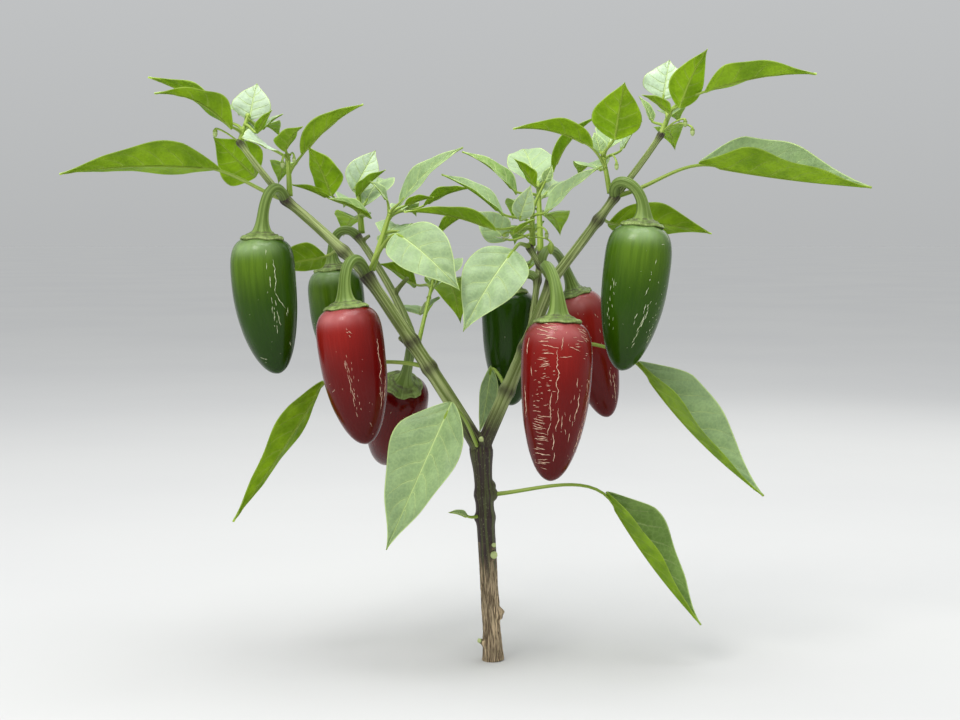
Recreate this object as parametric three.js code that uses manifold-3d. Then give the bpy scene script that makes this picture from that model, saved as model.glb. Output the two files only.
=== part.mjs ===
// Chilli pepper plant: a forked woody stem, eight hanging peppers and open foliage.
// Millimetres, +Z up. From the front, where -Y points at the viewer, +X is to the right.
// The origin is the middle of the flat cut through the stem at ground level.
import * as THREE from 'three';
import { mergeVertices } from 'three/addons/utils/BufferGeometryUtils.js';
import Module from 'manifold-3d';

const wasm = await Module();
wasm.setup();

// Driving sizes
const SEAT_GAP = 0.3;
const SKIN_TOLERANCE = 0.05;
const STEM_RADIUS = 4.3;
const FOOT_FLARE = 1.1;
const LEAF_THICKNESS_SHARE = 0.018;
const LEAF_THINNEST = 0.9;
const LARGE_LEAF = 56;
const PETIOLE_RADIUS = 0.9;
const PEPPER_STALK_RADIUS = 2.4;
const PEPPER_CAP_SHARE = 0.66;
const FILLER_CLEARANCE = 3.5;
const FILLER_TRIES = 14;
const FILLER_SPREAD = THREE.MathUtils.degToRad(65);
const GOLDEN_TURN = THREE.MathUtils.degToRad(137.5);

// Where the limbs meet, from the foot up
const JOINTS = {
  foot: [1, 0, 0],
  fork: [-5, 0, 105.5],
  left_first: [-61, -6, 192.5],
  left_second: [-99.6, -14, 229],
  left_tip: [-121, -16, 256],
  rear_low: [-38, 3, 157],
  rear_top: [-68, 34, 211],
  right_first: [30.4, 0, 190],
  right_second: [60, -12, 230.6],
  right_tip: [81.6, -14, 260],
  centre_top: [19, 8, 206],
  behind_low: [17, 1, 150],
  behind_top: [25, 20, 203],
};

// Each limb tapers between two joints. bow is how far its middle stands off the straight line,
// knuckle the radius of the swollen node that ends it, and carriers the limbs it is seated on.
const LIMBS = {
  trunk: {
    from: 'foot', to: 'fork', bow: [0.3, 0, 0], radii: [STEM_RADIUS, STEM_RADIUS + 0.3],
    flare: FOOT_FLARE, knuckle: 6.2, carriers: [], colour: '#7d7a52', sides: 12,
  },
  bough_left_lower: {
    from: 'fork', to: 'left_first', bow: [3, -1, -3], radii: [4.1, 2.9],
    knuckle: 4.1, carriers: ['trunk'], colour: '#64703f', sides: 10,
  },
  bough_left_upper: {
    from: 'left_first', to: 'left_second', bow: [0.5, -1, 0.8], radii: [2.8, 2.2],
    knuckle: 3.0, carriers: ['bough_left_lower'], colour: '#6d7f45', sides: 8,
  },
  bough_left_tip: {
    from: 'left_second', to: 'left_tip', bow: [0, 0, -0.6], radii: [1.8, 1.3],
    knuckle: 1.9, carriers: ['bough_left_upper'], colour: '#7d9750', sides: 8,
  },
  bough_left_rear: {
    from: 'rear_low', to: 'rear_top', bow: [4, 1, -2], radii: [2.4, 1.7],
    knuckle: 2.5, carriers: ['bough_left_lower'], colour: '#5d6b3e', sides: 8,
  },
  bough_right_lower: {
    from: 'fork', to: 'right_first', bow: [1.5, 1, 2], radii: [3.9, 2.9],
    knuckle: 3.9, carriers: ['trunk', 'bough_left_lower'], colour: '#64703f', sides: 10,
  },
  bough_right_upper: {
    from: 'right_first', to: 'right_second', bow: [0, 0, -0.6], radii: [2.7, 2.1],
    knuckle: 2.9, carriers: ['bough_right_lower'], colour: '#6d7f45', sides: 8,
  },
  bough_right_tip: {
    from: 'right_second', to: 'right_tip', bow: [0.4, 0, -0.4], radii: [1.8, 1.4],
    knuckle: 2.0, carriers: ['bough_right_upper'], colour: '#7d9750', sides: 8,
  },
  bough_centre: {
    from: 'right_first', to: 'centre_top', bow: [-0.8, 0, -0.4], radii: [1.9, 1.6],
    knuckle: 2.3, carriers: ['bough_right_lower', 'bough_right_upper'], colour: '#6d7f45', sides: 8,
  },
  bough_behind: {
    from: 'behind_low', to: 'behind_top', bow: [0.5, 2.5, 0], radii: [1.9, 1.5],
    knuckle: 2.0, carriers: ['bough_right_lower'], colour: '#7f9a52', sides: 8,
  },
};

// Each pepper hangs by a hooked stalk that leaves limb `on` at a share of its length.
// cap is the middle of its cap, tip its lower end, bow the lean of its middle, hook the rise
// of the stalk above the higher of its two ends.
const PEPPERS = {
  pepper_left_green: {
    on: 'bough_left_upper', at: 1, cap: [-109.8, -22, 212], tip: [-102, -23, 145.4],
    radius: 15.8, bow: [-2.2, 0, 0], hook: 7.5, ripe: 0, lead: [-1, -4, 0],
  },
  pepper_left_red: {
    on: 'bough_left_lower', at: 1, cap: [-69.6, -25, 179], tip: [-59.8, -27, 111.8],
    radius: 16.4, bow: [-0.6, 0, 0], hook: 10, ripe: 1, lead: [-2, -7, 0],
  },
  pepper_rear_red: {
    on: 'bough_left_lower', at: 0.62, cap: [-43.8, 17, 138], tip: [-56, 52, 93],
    radius: 15.3, bow: [0, 0, 0], hook: 3, ripe: 1,
  },
  pepper_rear_green: {
    on: 'bough_left_rear', at: 1, cap: [-81, 37, 196], tip: [-76, 39, 141],
    radius: 14.6, bow: [0, 0, 0], hook: 5, ripe: 0, lead: [-4, 0, 0],
  },
  pepper_centre_green: {
    on: 'bough_behind', at: 0.75, cap: [9.6, 27, 185], tip: [10.4, 28, 125],
    radius: 14.4, bow: [0, 0, 0], hook: 4, ripe: 0,
  },
  pepper_front_red: {
    on: 'bough_right_lower', at: 1, cap: [31.2, -38, 173], tip: [27.4, -42, 96],
    radius: 17, bow: [0.6, 0, 0], hook: 9.5, ripe: 1, lead: [-10, -4, 0],
  },
  pepper_right_red: {
    on: 'bough_centre', at: 0.45, cap: [42, 27, 183.5], tip: [60, 29, 119],
    radius: 13.6, bow: [0.4, 0, 0], hook: 11, ripe: 1,
  },
  pepper_right_green: {
    on: 'bough_right_upper', at: 1, cap: [72.4, -21, 218], tip: [62, -25, 147],
    radius: 16.3, bow: [0.8, 0, 0], hook: 9, ripe: 0, lead: [-6, -5, 0],
  },
};

// Each leaf has a petiole from limb or shoot `on`, at a share of its length, to the blade's base.
// half is half the blade's width, face points out of its upper side, arch is how far the middle
// of the midrib stands off its chord towards face, sway the same towards one side, fold lifts
// both halves, in degrees, and lead draws the start of the petiole aside.
const SINGLE_LEAVES = {
  leaf_left_reach: {
    on: 'bough_left_upper', at: 1, base: [-131, -10, 243.6], tip: [-205.5, -26, 240.8],
    half: 17.5, face: [0, 0.5, 0.87], arch: 3.5, fold: 15, lead: [2, 5, -9],
  },
  leaf_left_inner: {
    on: 'bough_left_upper', at: 0.3, base: [-82, 12, 201], tip: [-112, 20, 194],
    half: 10.5, face: [0, 0.8, 0.6], arch: 2, fold: 12,
  },
  leaf_left_pendent: {
    on: 'bough_left_lower', at: 0.47, base: [-83, 0, 140], tip: [-126.5, -14, 72],
    half: 14.5, face: [-0.8, 0.45, 0.4], arch: -1, fold: 12,
  },
  leaf_front_low: {
    on: 'trunk', at: 0.97, base: [-19, -26, 132], tip: [-50, -42, 63],
    half: 21, face: [-0.42, -0.88, 0.2], arch: 4, fold: 20, sway: 2,
  },
  leaf_fork_rear: {
    on: 'bough_right_lower', at: 0.35, base: [0, 18, 146], tip: [-6, 30, 110],
    half: 5.5, face: [0.3, -0.9, 0.2], arch: 2, fold: 20,
  },
  leaf_centre_left: {
    on: 'bough_left_lower', at: 1, base: [-45.6, -24, 212.7], tip: [-14.8, -46, 186],
    half: 16, face: [-0.1, -0.75, 0.65], arch: 4, fold: 10, lead: [3, -2, 2],
  },
  leaf_centre_front: {
    on: 'bough_centre', at: 1, base: [10.7, -22, 204.5], tip: [-13.5, -42, 166.5],
    half: 17, face: [-0.1, -0.85, 0.5], arch: 4, fold: 8, lead: [-3, -4, -2],
  },
  leaf_right_reach: {
    on: 'bough_right_upper', at: 1, base: [99.5, -16, 246.5], tip: [180, -30, 234.5],
    half: 21, face: [0, -0.3, 0.95], arch: -1.5, fold: 50, lead: [4, 0, -8],
  },
  leaf_right_inner: {
    on: 'bough_right_upper', at: 0.72, base: [58, 12, 217], tip: [111, 20, 212.5],
    half: 14, face: [0, 0.7, 0.7], arch: 4, fold: 12,
  },
  leaf_right_pendent: {
    on: 'bough_right_lower', at: 0.6, base: [72, -6, 150], tip: [132, -22, 86],
    half: 20.5, face: [0.6, -0.56, 0.57], arch: -5, fold: 52,
  },
  leaf_right_low: {
    on: 'trunk', at: 0.79, base: [56.6, -8, 86], tip: [102.7, -18, 21.8],
    half: 19, face: [0.68, -0.56, 0.48], arch: -3, fold: 54, lead: [0, 0, -9],
  },
  leaf_trunk_small: {
    on: 'trunk', at: 0.68, base: [-11, -6, 73], tip: [-21, -10, 76],
    half: 2.6, face: [0, -0.5, 0.87], arch: 1, fold: 20,
  },
};

// Each mass of foliage grows on one shoot. Its named leaves are the ones that stand out, and
// filler leaves close it at the back by a seeded rule, within an ellipsoid of radii reach.
const FOLIAGE = {
  foliage_left_tip: {
    start: JOINTS.left_tip, top: [-117, -12, 270], radius: 1.2,
    leaves: [
      { at: 0.3, base: [-124, -20, 262], tip: [-158, -36, 278], half: 13, face: [0.3, 0.4, 0.85],
        arch: 6, fold: 16 },
      { at: 0.4, base: [-128, -4, 266], tip: [-169, 8, 289.5], half: 10, face: [0.4, 0.5, 0.8],
        arch: 3, fold: 18 },
      { at: 0.8, base: [-117, -10, 267], tip: [-114, -2, 285.5], half: 10.5,
        face: [0, -0.9, 0.3], arch: 1, fold: 8 },
      { at: 0.6, base: [-112, -20, 260], tip: [-104, -26, 271], half: 3.6,
        face: [-0.6, 0.6, 0.6], arch: 1, fold: 15 },
      { at: 0.8, base: [-112, -8, 262], tip: [-102, 2, 271], half: 3.6, face: [-0.6, -0.5, 0.6],
        arch: 1, fold: 15 },
      { at: 0.15, base: [-116, 4, 240], tip: [-137, 6, 260], half: 13.5, face: [-0.1, 0.95, 0.1],
        arch: 2, fold: 8 },
    ],
    filler: { count: 4, seed: 11, reach: [30, 62, 34], blade: 40 },
  },
  foliage_left_middle: {
    start: [-97.5, -11.5, 230.5], top: [-98, -14, 251], radius: 1.4,
    leaves: [
      { at: 0.85, base: [-106, -18, 253], tip: [-117, -40, 257], half: 10, face: [0.2, -0.6, 0.8],
        arch: 1, fold: 10 },
      { at: 0.9, base: [-99, -17, 251.5], tip: [-89, -30, 263], half: 8, face: [-0.5, 0.3, 0.8],
        arch: 2, fold: 25 },
      { at: 0.5, base: [-91.4, -13, 250], tip: [-61, -22, 274], half: 9.5,
        face: [-0.4, 0.35, 0.85], arch: 3, fold: 25 },
    ],
    filler: { count: 4, seed: 23, reach: [28, 66, 34], blade: 44 },
  },
  foliage_rear_left: {
    start: [-66, 36.5, 212.5], top: [-68, 38, 238], radius: 1.6,
    leaves: [
      { at: 0.35, base: [-60, 22, 220], tip: [-81, 12, 230], half: 6.5, face: [0.3, -0.3, 0.9],
        arch: 2, fold: 20 },
      { at: 0.8, base: [-68.5, 32, 231], tip: [-53.6, 34, 245], half: 7, face: [-0.6, 0.3, 0.7],
        arch: 1, fold: 18 },
      { at: 0.5, base: [-79.5, 16, 231], tip: [-91, 10, 256], half: 10, face: [0.4, 0.8, 0.4],
        arch: 2, fold: 12 },
      { at: 0.9, base: [-71, 46, 234], tip: [-60, 58, 256], half: 9.5, face: [0.2, -0.9, 0.3],
        arch: 2, fold: 10 },
      { at: 0.4, base: [-81, 24, 230], tip: [-100, 16, 237], half: 4.5, face: [0.3, 0.3, 0.9],
        arch: 1, fold: 20 },
    ],
    filler: { count: 8, seed: 37, reach: [34, 84, 44], blade: 52 },
  },
  foliage_centre_left: {
    start: [-58.5, -3.5, 194.5], top: [-49, -3, 224], radius: 1.6,
    leaves: [
      { at: 0.9, base: [-50.6, -2, 228], tip: [-59, -10, 238], half: 4.5, face: [0.5, -0.5, 0.7],
        arch: 1, fold: 15 },
      { at: 0.95, base: [-45, -6, 226], tip: [-13.7, -14, 254], half: 10.5,
        face: [-0.5, -0.5, 0.7], arch: 3, fold: 14 },
      { at: 0.85, base: [-34, 16, 226], tip: [-10.5, 24, 235.5], half: 7, face: [-0.3, 0.4, 0.85],
        arch: 2, fold: 15 },
      { at: 0.9, base: [-43, 6, 226], tip: [-28.4, 8, 230.5], half: 4, face: [0, 0.5, 0.85],
        arch: 1, fold: 20 },
      { at: 0.6, base: [-27, 4, 212], tip: [-12.5, 14, 222], half: 7, face: [-0.4, 0.5, 0.75],
        arch: 1, fold: 16 },
    ],
    filler: { count: 3, seed: 41, reach: [30, 60, 34], blade: 42 },
  },
  foliage_left_behind: {
    start: [-36, 3, 158], top: [-29, 22, 190], radius: 1.1,
    leaves: [
      { at: 0.85, base: [-38, 34, 186], tip: [-58, 48, 197], half: 8, face: [0.3, 0.7, 0.6],
        arch: 2, fold: 12 },
      { at: 0.6, base: [-36, 36, 171], tip: [-34, 76, 168], half: 12, face: [-0.2, -0.3, 0.9],
        arch: 5, fold: 15 },
      { at: 0.95, base: [-24, 42, 188], tip: [-16, 88, 164], half: 15, face: [0, 0.3, 0.9],
        arch: 8, fold: 12 },
    ],
    filler: { count: 4, seed: 53, reach: [26, 84, 50], blade: 52 },
  },
  foliage_centre: {
    start: [20.5, 8.5, 207], top: [20, -4, 224], radius: 1.6,
    leaves: [
      { at: 0.6, base: [6, -10, 221], tip: [-24, -16, 241], half: 10, face: [0.4, -0.3, 0.85],
        arch: 2, fold: 18 },
      { at: 0.4, base: [2.4, -14, 214], tip: [-42, -22, 223], half: 9, face: [0.1, 0.3, 0.95],
        arch: 3, fold: 18 },
      { at: 0.8, base: [13.5, -16, 219], tip: [19, -20, 236], half: 6, face: [0, -0.95, 0.2],
        arch: 1, fold: 12 },
      { at: 0.8, base: [25.5, -10, 221], tip: [53, -16, 245], half: 8.5, face: [-0.4, -0.4, 0.8],
        arch: 2, fold: 16 },
      { at: 0.95, base: [26, -2, 237], tip: [30, 0, 246], half: 3.2, face: [0, -0.9, 0.3],
        arch: 0.5, fold: 12 },
      { at: 0.5, base: [10.5, -20, 212.5], tip: [21, -27, 219.5], half: 3.4, face: [0, -0.3, 0.95],
        arch: 0.8, fold: 20 },
    ],
    filler: { count: 2, seed: 61, reach: [28, 50, 34], blade: 36 },
  },
  foliage_behind: {
    start: JOINTS.behind_top, top: [24, 28, 238], radius: 1.6,
    leaves: [
      { at: 0.8, base: [13, 24, 232], tip: [-14.6, 30, 254], half: 9, face: [0.5, -0.3, 0.8],
        arch: 3, fold: 16 },
      { at: 0.9, base: [22, 20, 236], tip: [11.6, 20, 250], half: 6, face: [0.5, 0.5, 0.6],
        arch: 1, fold: 14 },
      { at: 0.98, base: [23, 42, 238], tip: [17, 70, 257], half: 14, face: [0, -0.6, 0.8],
        arch: 4, fold: 14 },
      { at: 0.9, base: [31, 18, 243], tip: [53, 20, 271], half: 7.5, face: [-0.6, 0.4, 0.6],
        arch: 4, fold: 18 },
      { at: 0.25, base: [8, 26, 209], tip: [-8, 30, 224], half: 9, face: [0, -0.9, 0.3],
        arch: 2, fold: 12 },
      { at: 0.1, base: [20, 40, 196], tip: [12, 84, 184], half: 13, face: [0, 0.1, 1],
        arch: 6, fold: 14 },
    ],
    filler: { count: 8, seed: 73, reach: [32, 84, 48], blade: 52 },
  },
  foliage_right_middle: {
    start: [57.5, -9.5, 232], top: [53.5, -13, 252], radius: 1.3,
    leaves: [
      { at: 0.6, base: [48.6, -18, 253.5], tip: [10, -28, 262], half: 10, face: [0, 0.35, 0.94],
        arch: 4, fold: 25 },
      { at: 0.9, base: [58.8, -21, 257], tip: [63, -27, 284], half: 13.5, face: [-0.1, 0.95, 0.2],
        arch: 2, fold: 10 },
      { at: 0.8, base: [62.5, -11, 252], tip: [73, -8, 267], half: 3.5, face: [-0.7, -0.4, 0.5],
        arch: 1, fold: 18 },
      { at: 0.9, base: [53, -8, 251], tip: [50, -3, 262], half: 4, face: [0, -0.8, 0.5],
        arch: 1, fold: 15 },
    ],
    filler: { count: 5, seed: 83, reach: [28, 74, 38], blade: 48 },
  },
  foliage_right_tip: {
    start: JOINTS.right_tip, top: [87, -12, 273], radius: 1.4,
    leaves: [
      { at: 0.6, base: [83.5, -3, 277.5], tip: [87.5, 5, 297.5], half: 12, face: [-0.1, -0.9, 0.4],
        arch: 1, fold: 8 },
      { at: 0.8, base: [89.5, -21, 272], tip: [102, -27, 299.6], half: 10,
        face: [-0.3, 0.9, 0.2], arch: 3, fold: 10 },
      { at: 0.9, base: [102, -18, 280], tip: [153, -31, 287.5], half: 13, face: [0, 0.4, 0.9],
        arch: 3.5, fold: 22 },
      { at: 0.5, base: [85.5, -20, 269.5], tip: [71, -27, 278], half: 4.2, face: [0.2, 0.5, 0.8],
        arch: 1.5, fold: 22 },
      { at: 0.3, base: [77.6, -10, 266], tip: [71.6, -6, 279], half: 3.6, face: [0.6, -0.6, 0.4],
        arch: 1, fold: 18 },
    ],
    filler: { count: 4, seed: 97, reach: [28, 66, 34], blade: 44 },
  },
};

const COLOURS = {
  leaf: '#6f9f2e',
  foliage: '#6a9a34',
  green: '#3c6b1c',
  red: '#9c1f18',
};

const NO_LEAD = [0, 0, 0];

const toVector = (point) => new THREE.Vector3(...point);

function makeRandom(seed) {
  let state = seed;
  return () => {
    state = (state * 16807) % 2147483647;
    return state / 2147483647;
  };
}

// Curves

function bowedCurve(from, to, bow) {
  const middle = from.clone().lerp(to, 0.5).addScaledVector(bow, 2);
  return new THREE.QuadraticBezierCurve3(from, middle, to);
}

function limbCurve(name) {
  const limb = LIMBS[name];
  return bowedCurve(toVector(JOINTS[limb.from]), toVector(JOINTS[limb.to]), toVector(limb.bow));
}

// A petiole leaves its limb upwards and runs into the line of the blade. lead moves its start aside.
function petioleCurve(from, base, into, lead) {
  const length = from.distanceTo(base);
  const out = base.clone().sub(from).normalize();
  out.z += 0.5;
  const first = from.clone().addScaledVector(out.normalize(), length * 0.35).add(toVector(lead));
  const second = base.clone().addScaledVector(into, -length * 0.35);
  return new THREE.CubicBezierCurve3(from, first, second, base);
}

// A pepper's stalk rises, turns over and comes down in the line of the fruit.
function stalkCurve(from, cap, axis, hook, lead) {
  const rise = Math.max(cap.z - from.z, 0) + hook;
  const first = from.clone().lerp(cap, 0.1).add(toVector(lead));
  first.z = from.z + rise * 1.25;
  const second = cap.clone().addScaledVector(axis, -(from.z + rise - cap.z));
  return new THREE.CubicBezierCurve3(from, first, second, cap);
}

// Solids

function toSolid(geometry) {
  geometry.deleteAttribute('normal');
  geometry.deleteAttribute('uv');
  const merged = mergeVertices(geometry, 1e-4);
  return new wasm.Manifold(new wasm.Mesh({
    numProp: 3,
    vertProperties: new Float32Array(merged.attributes.position.array),
    triVerts: new Uint32Array(merged.index.array),
  }));
}

// A round bar along a curve. grow makes it fatter and longer, to cut clearances with,
// and level lays its first ring flat.
function sweep(curve, radiusAt, sides, steps, grow = 0, level = false) {
  const geometry = new THREE.CylinderGeometry(1, 1, 1, sides, steps);
  const frames = curve.computeFrenetFrames(steps, false);
  const position = geometry.attributes.position;
  const point = new THREE.Vector3();
  for (let i = 0; i < position.count; i += 1) {
    const ring = Math.round((position.getY(i) + 0.5) * steps);
    const share = ring / steps;
    const radius = radiusAt(share) + grow;
    const beyond = (ring === steps ? grow : 0) - (ring === 0 ? grow : 0);
    point.copy(curve.getPointAt(share))
      .addScaledVector(frames.tangents[ring], beyond)
      .addScaledVector(frames.normals[ring], position.getX(i) * radius)
      .addScaledVector(frames.binormals[ring], -position.getZ(i) * radius);
    position.setXYZ(i, point.x, point.y, level && ring === 0 ? -grow : point.z);
  }
  return toSolid(geometry);
}

function ball(centre, radius) {
  const geometry = new THREE.SphereGeometry(radius, 8, 5);
  geometry.translate(centre.x, centre.y, centre.z);
  return toSolid(geometry);
}

function joinSolids(solids) {
  return wasm.Manifold.union(solids).simplify(SKIN_TOLERANCE);
}

// The largest body left of a solid after its neighbours are cut away
function cutClear(solid, cutters) {
  const cut = cutters.reduce((rest, cutter) => rest.subtract(cutter), solid);
  return cut.decompose().sort((a, b) => b.volume() - a.volume())[0];
}

function limbSolid(name, grow = 0) {
  const limb = LIMBS[name];
  const curve = limbCurve(name);
  const [low, high] = limb.radii;
  const radiusAt = (share) => THREE.MathUtils.lerp(low, high, share)
    + (limb.flare ?? 0) * Math.exp(-share / 0.12);
  const steps = Math.max(4, Math.round(curve.getLength() / 14));
  const bar = sweep(curve, radiusAt, limb.sides, steps, grow, name === 'trunk');
  return joinSolids([bar, ball(curve.getPointAt(1), limb.knuckle + grow)]);
}

// Leaves

const bladeWidthAt = (share) => Math.sin(Math.PI * share ** 0.68) * (1 - 0.22 * share);

// A blade's midrib and the directions across and out of it at any share of its length
function bladeFrame(leaf) {
  const base = toVector(leaf.base);
  const tip = toVector(leaf.tip);
  const chord = tip.clone().sub(base).normalize();
  const face = toVector(leaf.face);
  face.addScaledVector(chord, -face.dot(chord)).normalize();
  const across = new THREE.Vector3().crossVectors(face, chord);
  const bow = face.clone().multiplyScalar(leaf.arch).addScaledVector(across, leaf.sway ?? 0);
  const midrib = bowedCurve(base, tip, bow);
  return (share) => {
    const along = midrib.getTangent(share);
    const side = new THREE.Vector3().crossVectors(face, along).normalize();
    const out = new THREE.Vector3().crossVectors(along, side);
    return { point: midrib.getPoint(share), along, side, out };
  };
}

function bladeSolid(leaf, rows) {
  const frameAt = bladeFrame(leaf);
  const length = toVector(leaf.base).distanceTo(toVector(leaf.tip));
  const half = Math.max(LEAF_THINNEST, length * LEAF_THICKNESS_SHARE) / 2;
  const fold = THREE.MathUtils.degToRad(leaf.fold);
  const geometry = new THREE.SphereGeometry(1, 4, rows);
  const position = geometry.attributes.position;
  for (let i = 0; i < position.count; i += 1) {
    const share = THREE.MathUtils.clamp((1 - position.getY(i)) / 2, 0, 1);
    const { point, side, out } = frameAt(share);
    const across = position.getX(i);
    const through = position.getZ(i);
    const ring = Math.sqrt(Math.max(1 - position.getY(i) ** 2, 0));
    if (Math.abs(across) > 1e-3) {
      const reach = leaf.half * bladeWidthAt(share);
      point.addScaledVector(side, Math.sign(across) * reach * Math.cos(fold));
      point.addScaledVector(out, reach * Math.sin(fold));
    } else if (Math.abs(through) > 1e-3) {
      point.addScaledVector(out, Math.sign(through) * half * Math.sqrt(ring));
    }
    position.setXYZ(i, point.x, point.y, point.z);
  }
  return toSolid(geometry);
}

function leafSolid(leaf, from, petioleRadius) {
  const frameAt = bladeFrame(leaf);
  const base = frameAt(0.1).point;
  const length = toVector(leaf.base).distanceTo(toVector(leaf.tip));
  const large = length > LARGE_LEAF;
  const petiole = petioleCurve(from, base, frameAt(0.05).along, leaf.lead ?? NO_LEAD);
  const steps = Math.max(large ? 4 : 2, Math.round(petiole.getLength() / 9));
  const radiusAt = (share) => petioleRadius * (1.25 - 0.55 * share);
  return joinSolids([
    sweep(petiole, radiusAt, large ? 5 : 3, steps),
    bladeSolid(leaf, large ? 6 : 4),
  ]);
}

// Peppers

// Radius of the fruit at a share of its length: a blunt shoulder and a rounded, narrower tip
function pepperRadiusAt(share) {
  const across = 2 * share ** 0.72 - 1;
  return (1 - Math.abs(across) ** (across < 0 ? 3.6 : 2.4)) ** 0.47 * (1 - 0.18 * share * share);
}

// A lathed profile is bent along a curve, so the fruit keeps one closed skin.
function bendAlong(geometry, curve, steps) {
  const frames = curve.computeFrenetFrames(steps, false);
  const position = geometry.attributes.position;
  for (let i = 0; i < position.count; i += 1) {
    const share = position.getY(i);
    const ring = Math.round(THREE.MathUtils.clamp(share, 0, 1) * steps);
    const point = curve.getPointAt(ring / steps)
      .addScaledVector(frames.tangents[ring], (share - ring / steps) * curve.getLength())
      .addScaledVector(frames.normals[ring], position.getX(i))
      .addScaledVector(frames.binormals[ring], -position.getZ(i));
    position.setXYZ(i, point.x, point.y, point.z);
  }
  return geometry;
}

function fruitSolid(pepper, axis) {
  const rows = 9;
  const profile = [];
  for (let row = 0; row <= rows; row += 1) {
    const share = (1 - Math.cos(Math.PI * row / rows)) / 2;
    profile.push(new THREE.Vector2(Math.max(pepper.radius * pepperRadiusAt(share), 0), share));
  }
  profile[0].x = 0;
  profile[rows].x = 0;
  const geometry = new THREE.LatheGeometry(profile, 12);
  const start = toVector(pepper.cap).addScaledVector(axis, 1);
  return toSolid(bendAlong(geometry, bowedCurve(start, toVector(pepper.tip), toVector(pepper.bow)), 60));
}

// The cap is a shallow cone that sits over the fruit's shoulder.
function capSolid(pepper, axis) {
  const rim = pepper.radius * PEPPER_CAP_SHARE;
  const profile = [[0, -2.2], [PEPPER_STALK_RADIUS * 1.6, -2.2], [rim * 0.6, -0.2],
    [rim, 2.4], [0, 3.2]].map(([x, y]) => new THREE.Vector2(x, y));
  const geometry = new THREE.LatheGeometry(profile, 9);
  const turn = new THREE.Quaternion().setFromUnitVectors(new THREE.Vector3(0, 1, 0), axis);
  geometry.applyQuaternion(turn);
  geometry.translate(...pepper.cap);
  return toSolid(geometry);
}

function pepperSolid(pepper) {
  const cap = toVector(pepper.cap);
  const axis = toVector(pepper.tip).sub(cap).normalize();
  const from = limbCurve(pepper.on).getPointAt(pepper.at);
  const seat = cap.clone().addScaledVector(axis, 1);
  const stalk = stalkCurve(from, seat, axis, pepper.hook, pepper.lead ?? NO_LEAD);
  const radiusAt = (share) => PEPPER_STALK_RADIUS * (1 + share ** 3);
  return joinSolids([
    sweep(stalk, radiusAt, 6, 9),
    capSolid(pepper, axis),
    fruitSolid(pepper, axis),
  ]);
}

// Filler foliage

// Balls that stand for limbs, fruit and named leaves when room for a new leaf is sought
const obstacles = [];

function blockCurve(curve, radius) {
  const count = Math.ceil(curve.getLength() / 4);
  for (let i = 0; i <= count; i += 1) {
    obstacles.push({ centre: curve.getPointAt(i / count), radius });
  }
}

function bladePoints(leaf) {
  const frameAt = bladeFrame(leaf);
  const points = [];
  for (let row = 0; row <= 6; row += 1) {
    const share = row / 6;
    const { point, side } = frameAt(share);
    const reach = leaf.half * bladeWidthAt(Math.min(share, 0.98));
    for (const across of [-1, -0.5, 0, 0.5, 1]) {
      points.push(point.clone().addScaledVector(side, across * reach));
    }
  }
  return points;
}

function blockLeaf(leaf) {
  for (const centre of bladePoints(leaf)) {
    obstacles.push({ centre, radius: 1.5 });
  }
}

function hasRoom(leaf, middle, reach) {
  const within = (point) => point.clone().sub(middle).divide(reach).length() < 1;
  return bladePoints(leaf).every((point) => within(point)
    && obstacles.every(({ centre, radius }) => (
      point.distanceTo(centre) > radius + FILLER_CLEARANCE)));
}

// Leaves in a spiral up the shoot, turned to the plant's back, kept where there is room
function growFiller(shoot, { count, seed, reach, blade }) {
  const random = makeRandom(seed);
  const middle = shoot.getPointAt(0.6);
  const grown = [];
  for (let i = 0; i < count * FILLER_TRIES && grown.length < count; i += 1) {
    const at = 0.25 + 0.7 * random();
    const heading = Math.PI / 2 + FILLER_SPREAD * (((i * GOLDEN_TURN) % 2) - 1);
    const rise = -0.15 + 0.75 * random();
    const out = new THREE.Vector3(Math.cos(heading), Math.sin(heading), rise).normalize();
    const length = blade * (0.75 + 0.4 * random());
    const base = shoot.getPointAt(at).addScaledVector(out, 7 + 9 * random());
    const tip = base.clone().addScaledVector(out, length);
    tip.z -= 0.15 * length;
    const leaf = {
      at,
      base: base.toArray(),
      tip: tip.toArray(),
      half: 0.23 * length,
      face: [0.4 * random() - 0.2, 0.4 * random() - 0.2, 1],
      arch: 0.1 * length,
      fold: 16,
    };
    if (hasRoom(leaf, middle, toVector(reach))) {
      blockLeaf(leaf);
      grown.push(leaf);
    }
  }
  return grown;
}

function shootCurve(mass) {
  const from = toVector(mass.start);
  return bowedCurve(from, toVector(mass.top), new THREE.Vector3());
}

function foliageSolid(mass) {
  const shoot = shootCurve(mass);
  const leaves = [...mass.leaves, ...growFiller(shoot, mass.filler)];
  const radiusAt = (share) => mass.radius * (1 - 0.35 * share);
  return joinSolids([
    sweep(shoot, radiusAt, 6, 4),
    ...leaves.map((leaf) => leafSolid(leaf, shoot.getPointAt(leaf.at), 0.7)),
  ]);
}

// Assembly

const plant = new THREE.Group();

function addMesh(name, solid, colour, roughness) {
  const { vertProperties, triVerts } = solid.getMesh();
  const geometry = new THREE.BufferGeometry();
  geometry.setAttribute('position', new THREE.BufferAttribute(vertProperties, 3));
  geometry.setIndex(new THREE.BufferAttribute(triVerts, 1));
  geometry.computeVertexNormals();
  const material = new THREE.MeshStandardMaterial({ color: colour, roughness, metalness: 0 });
  const mesh = new THREE.Mesh(geometry, material);
  mesh.name = name;
  plant.add(mesh);
}

const limbCutters = Object.fromEntries(
  Object.keys(LIMBS).map((name) => [name, limbSolid(name, SEAT_GAP)]),
);

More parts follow.
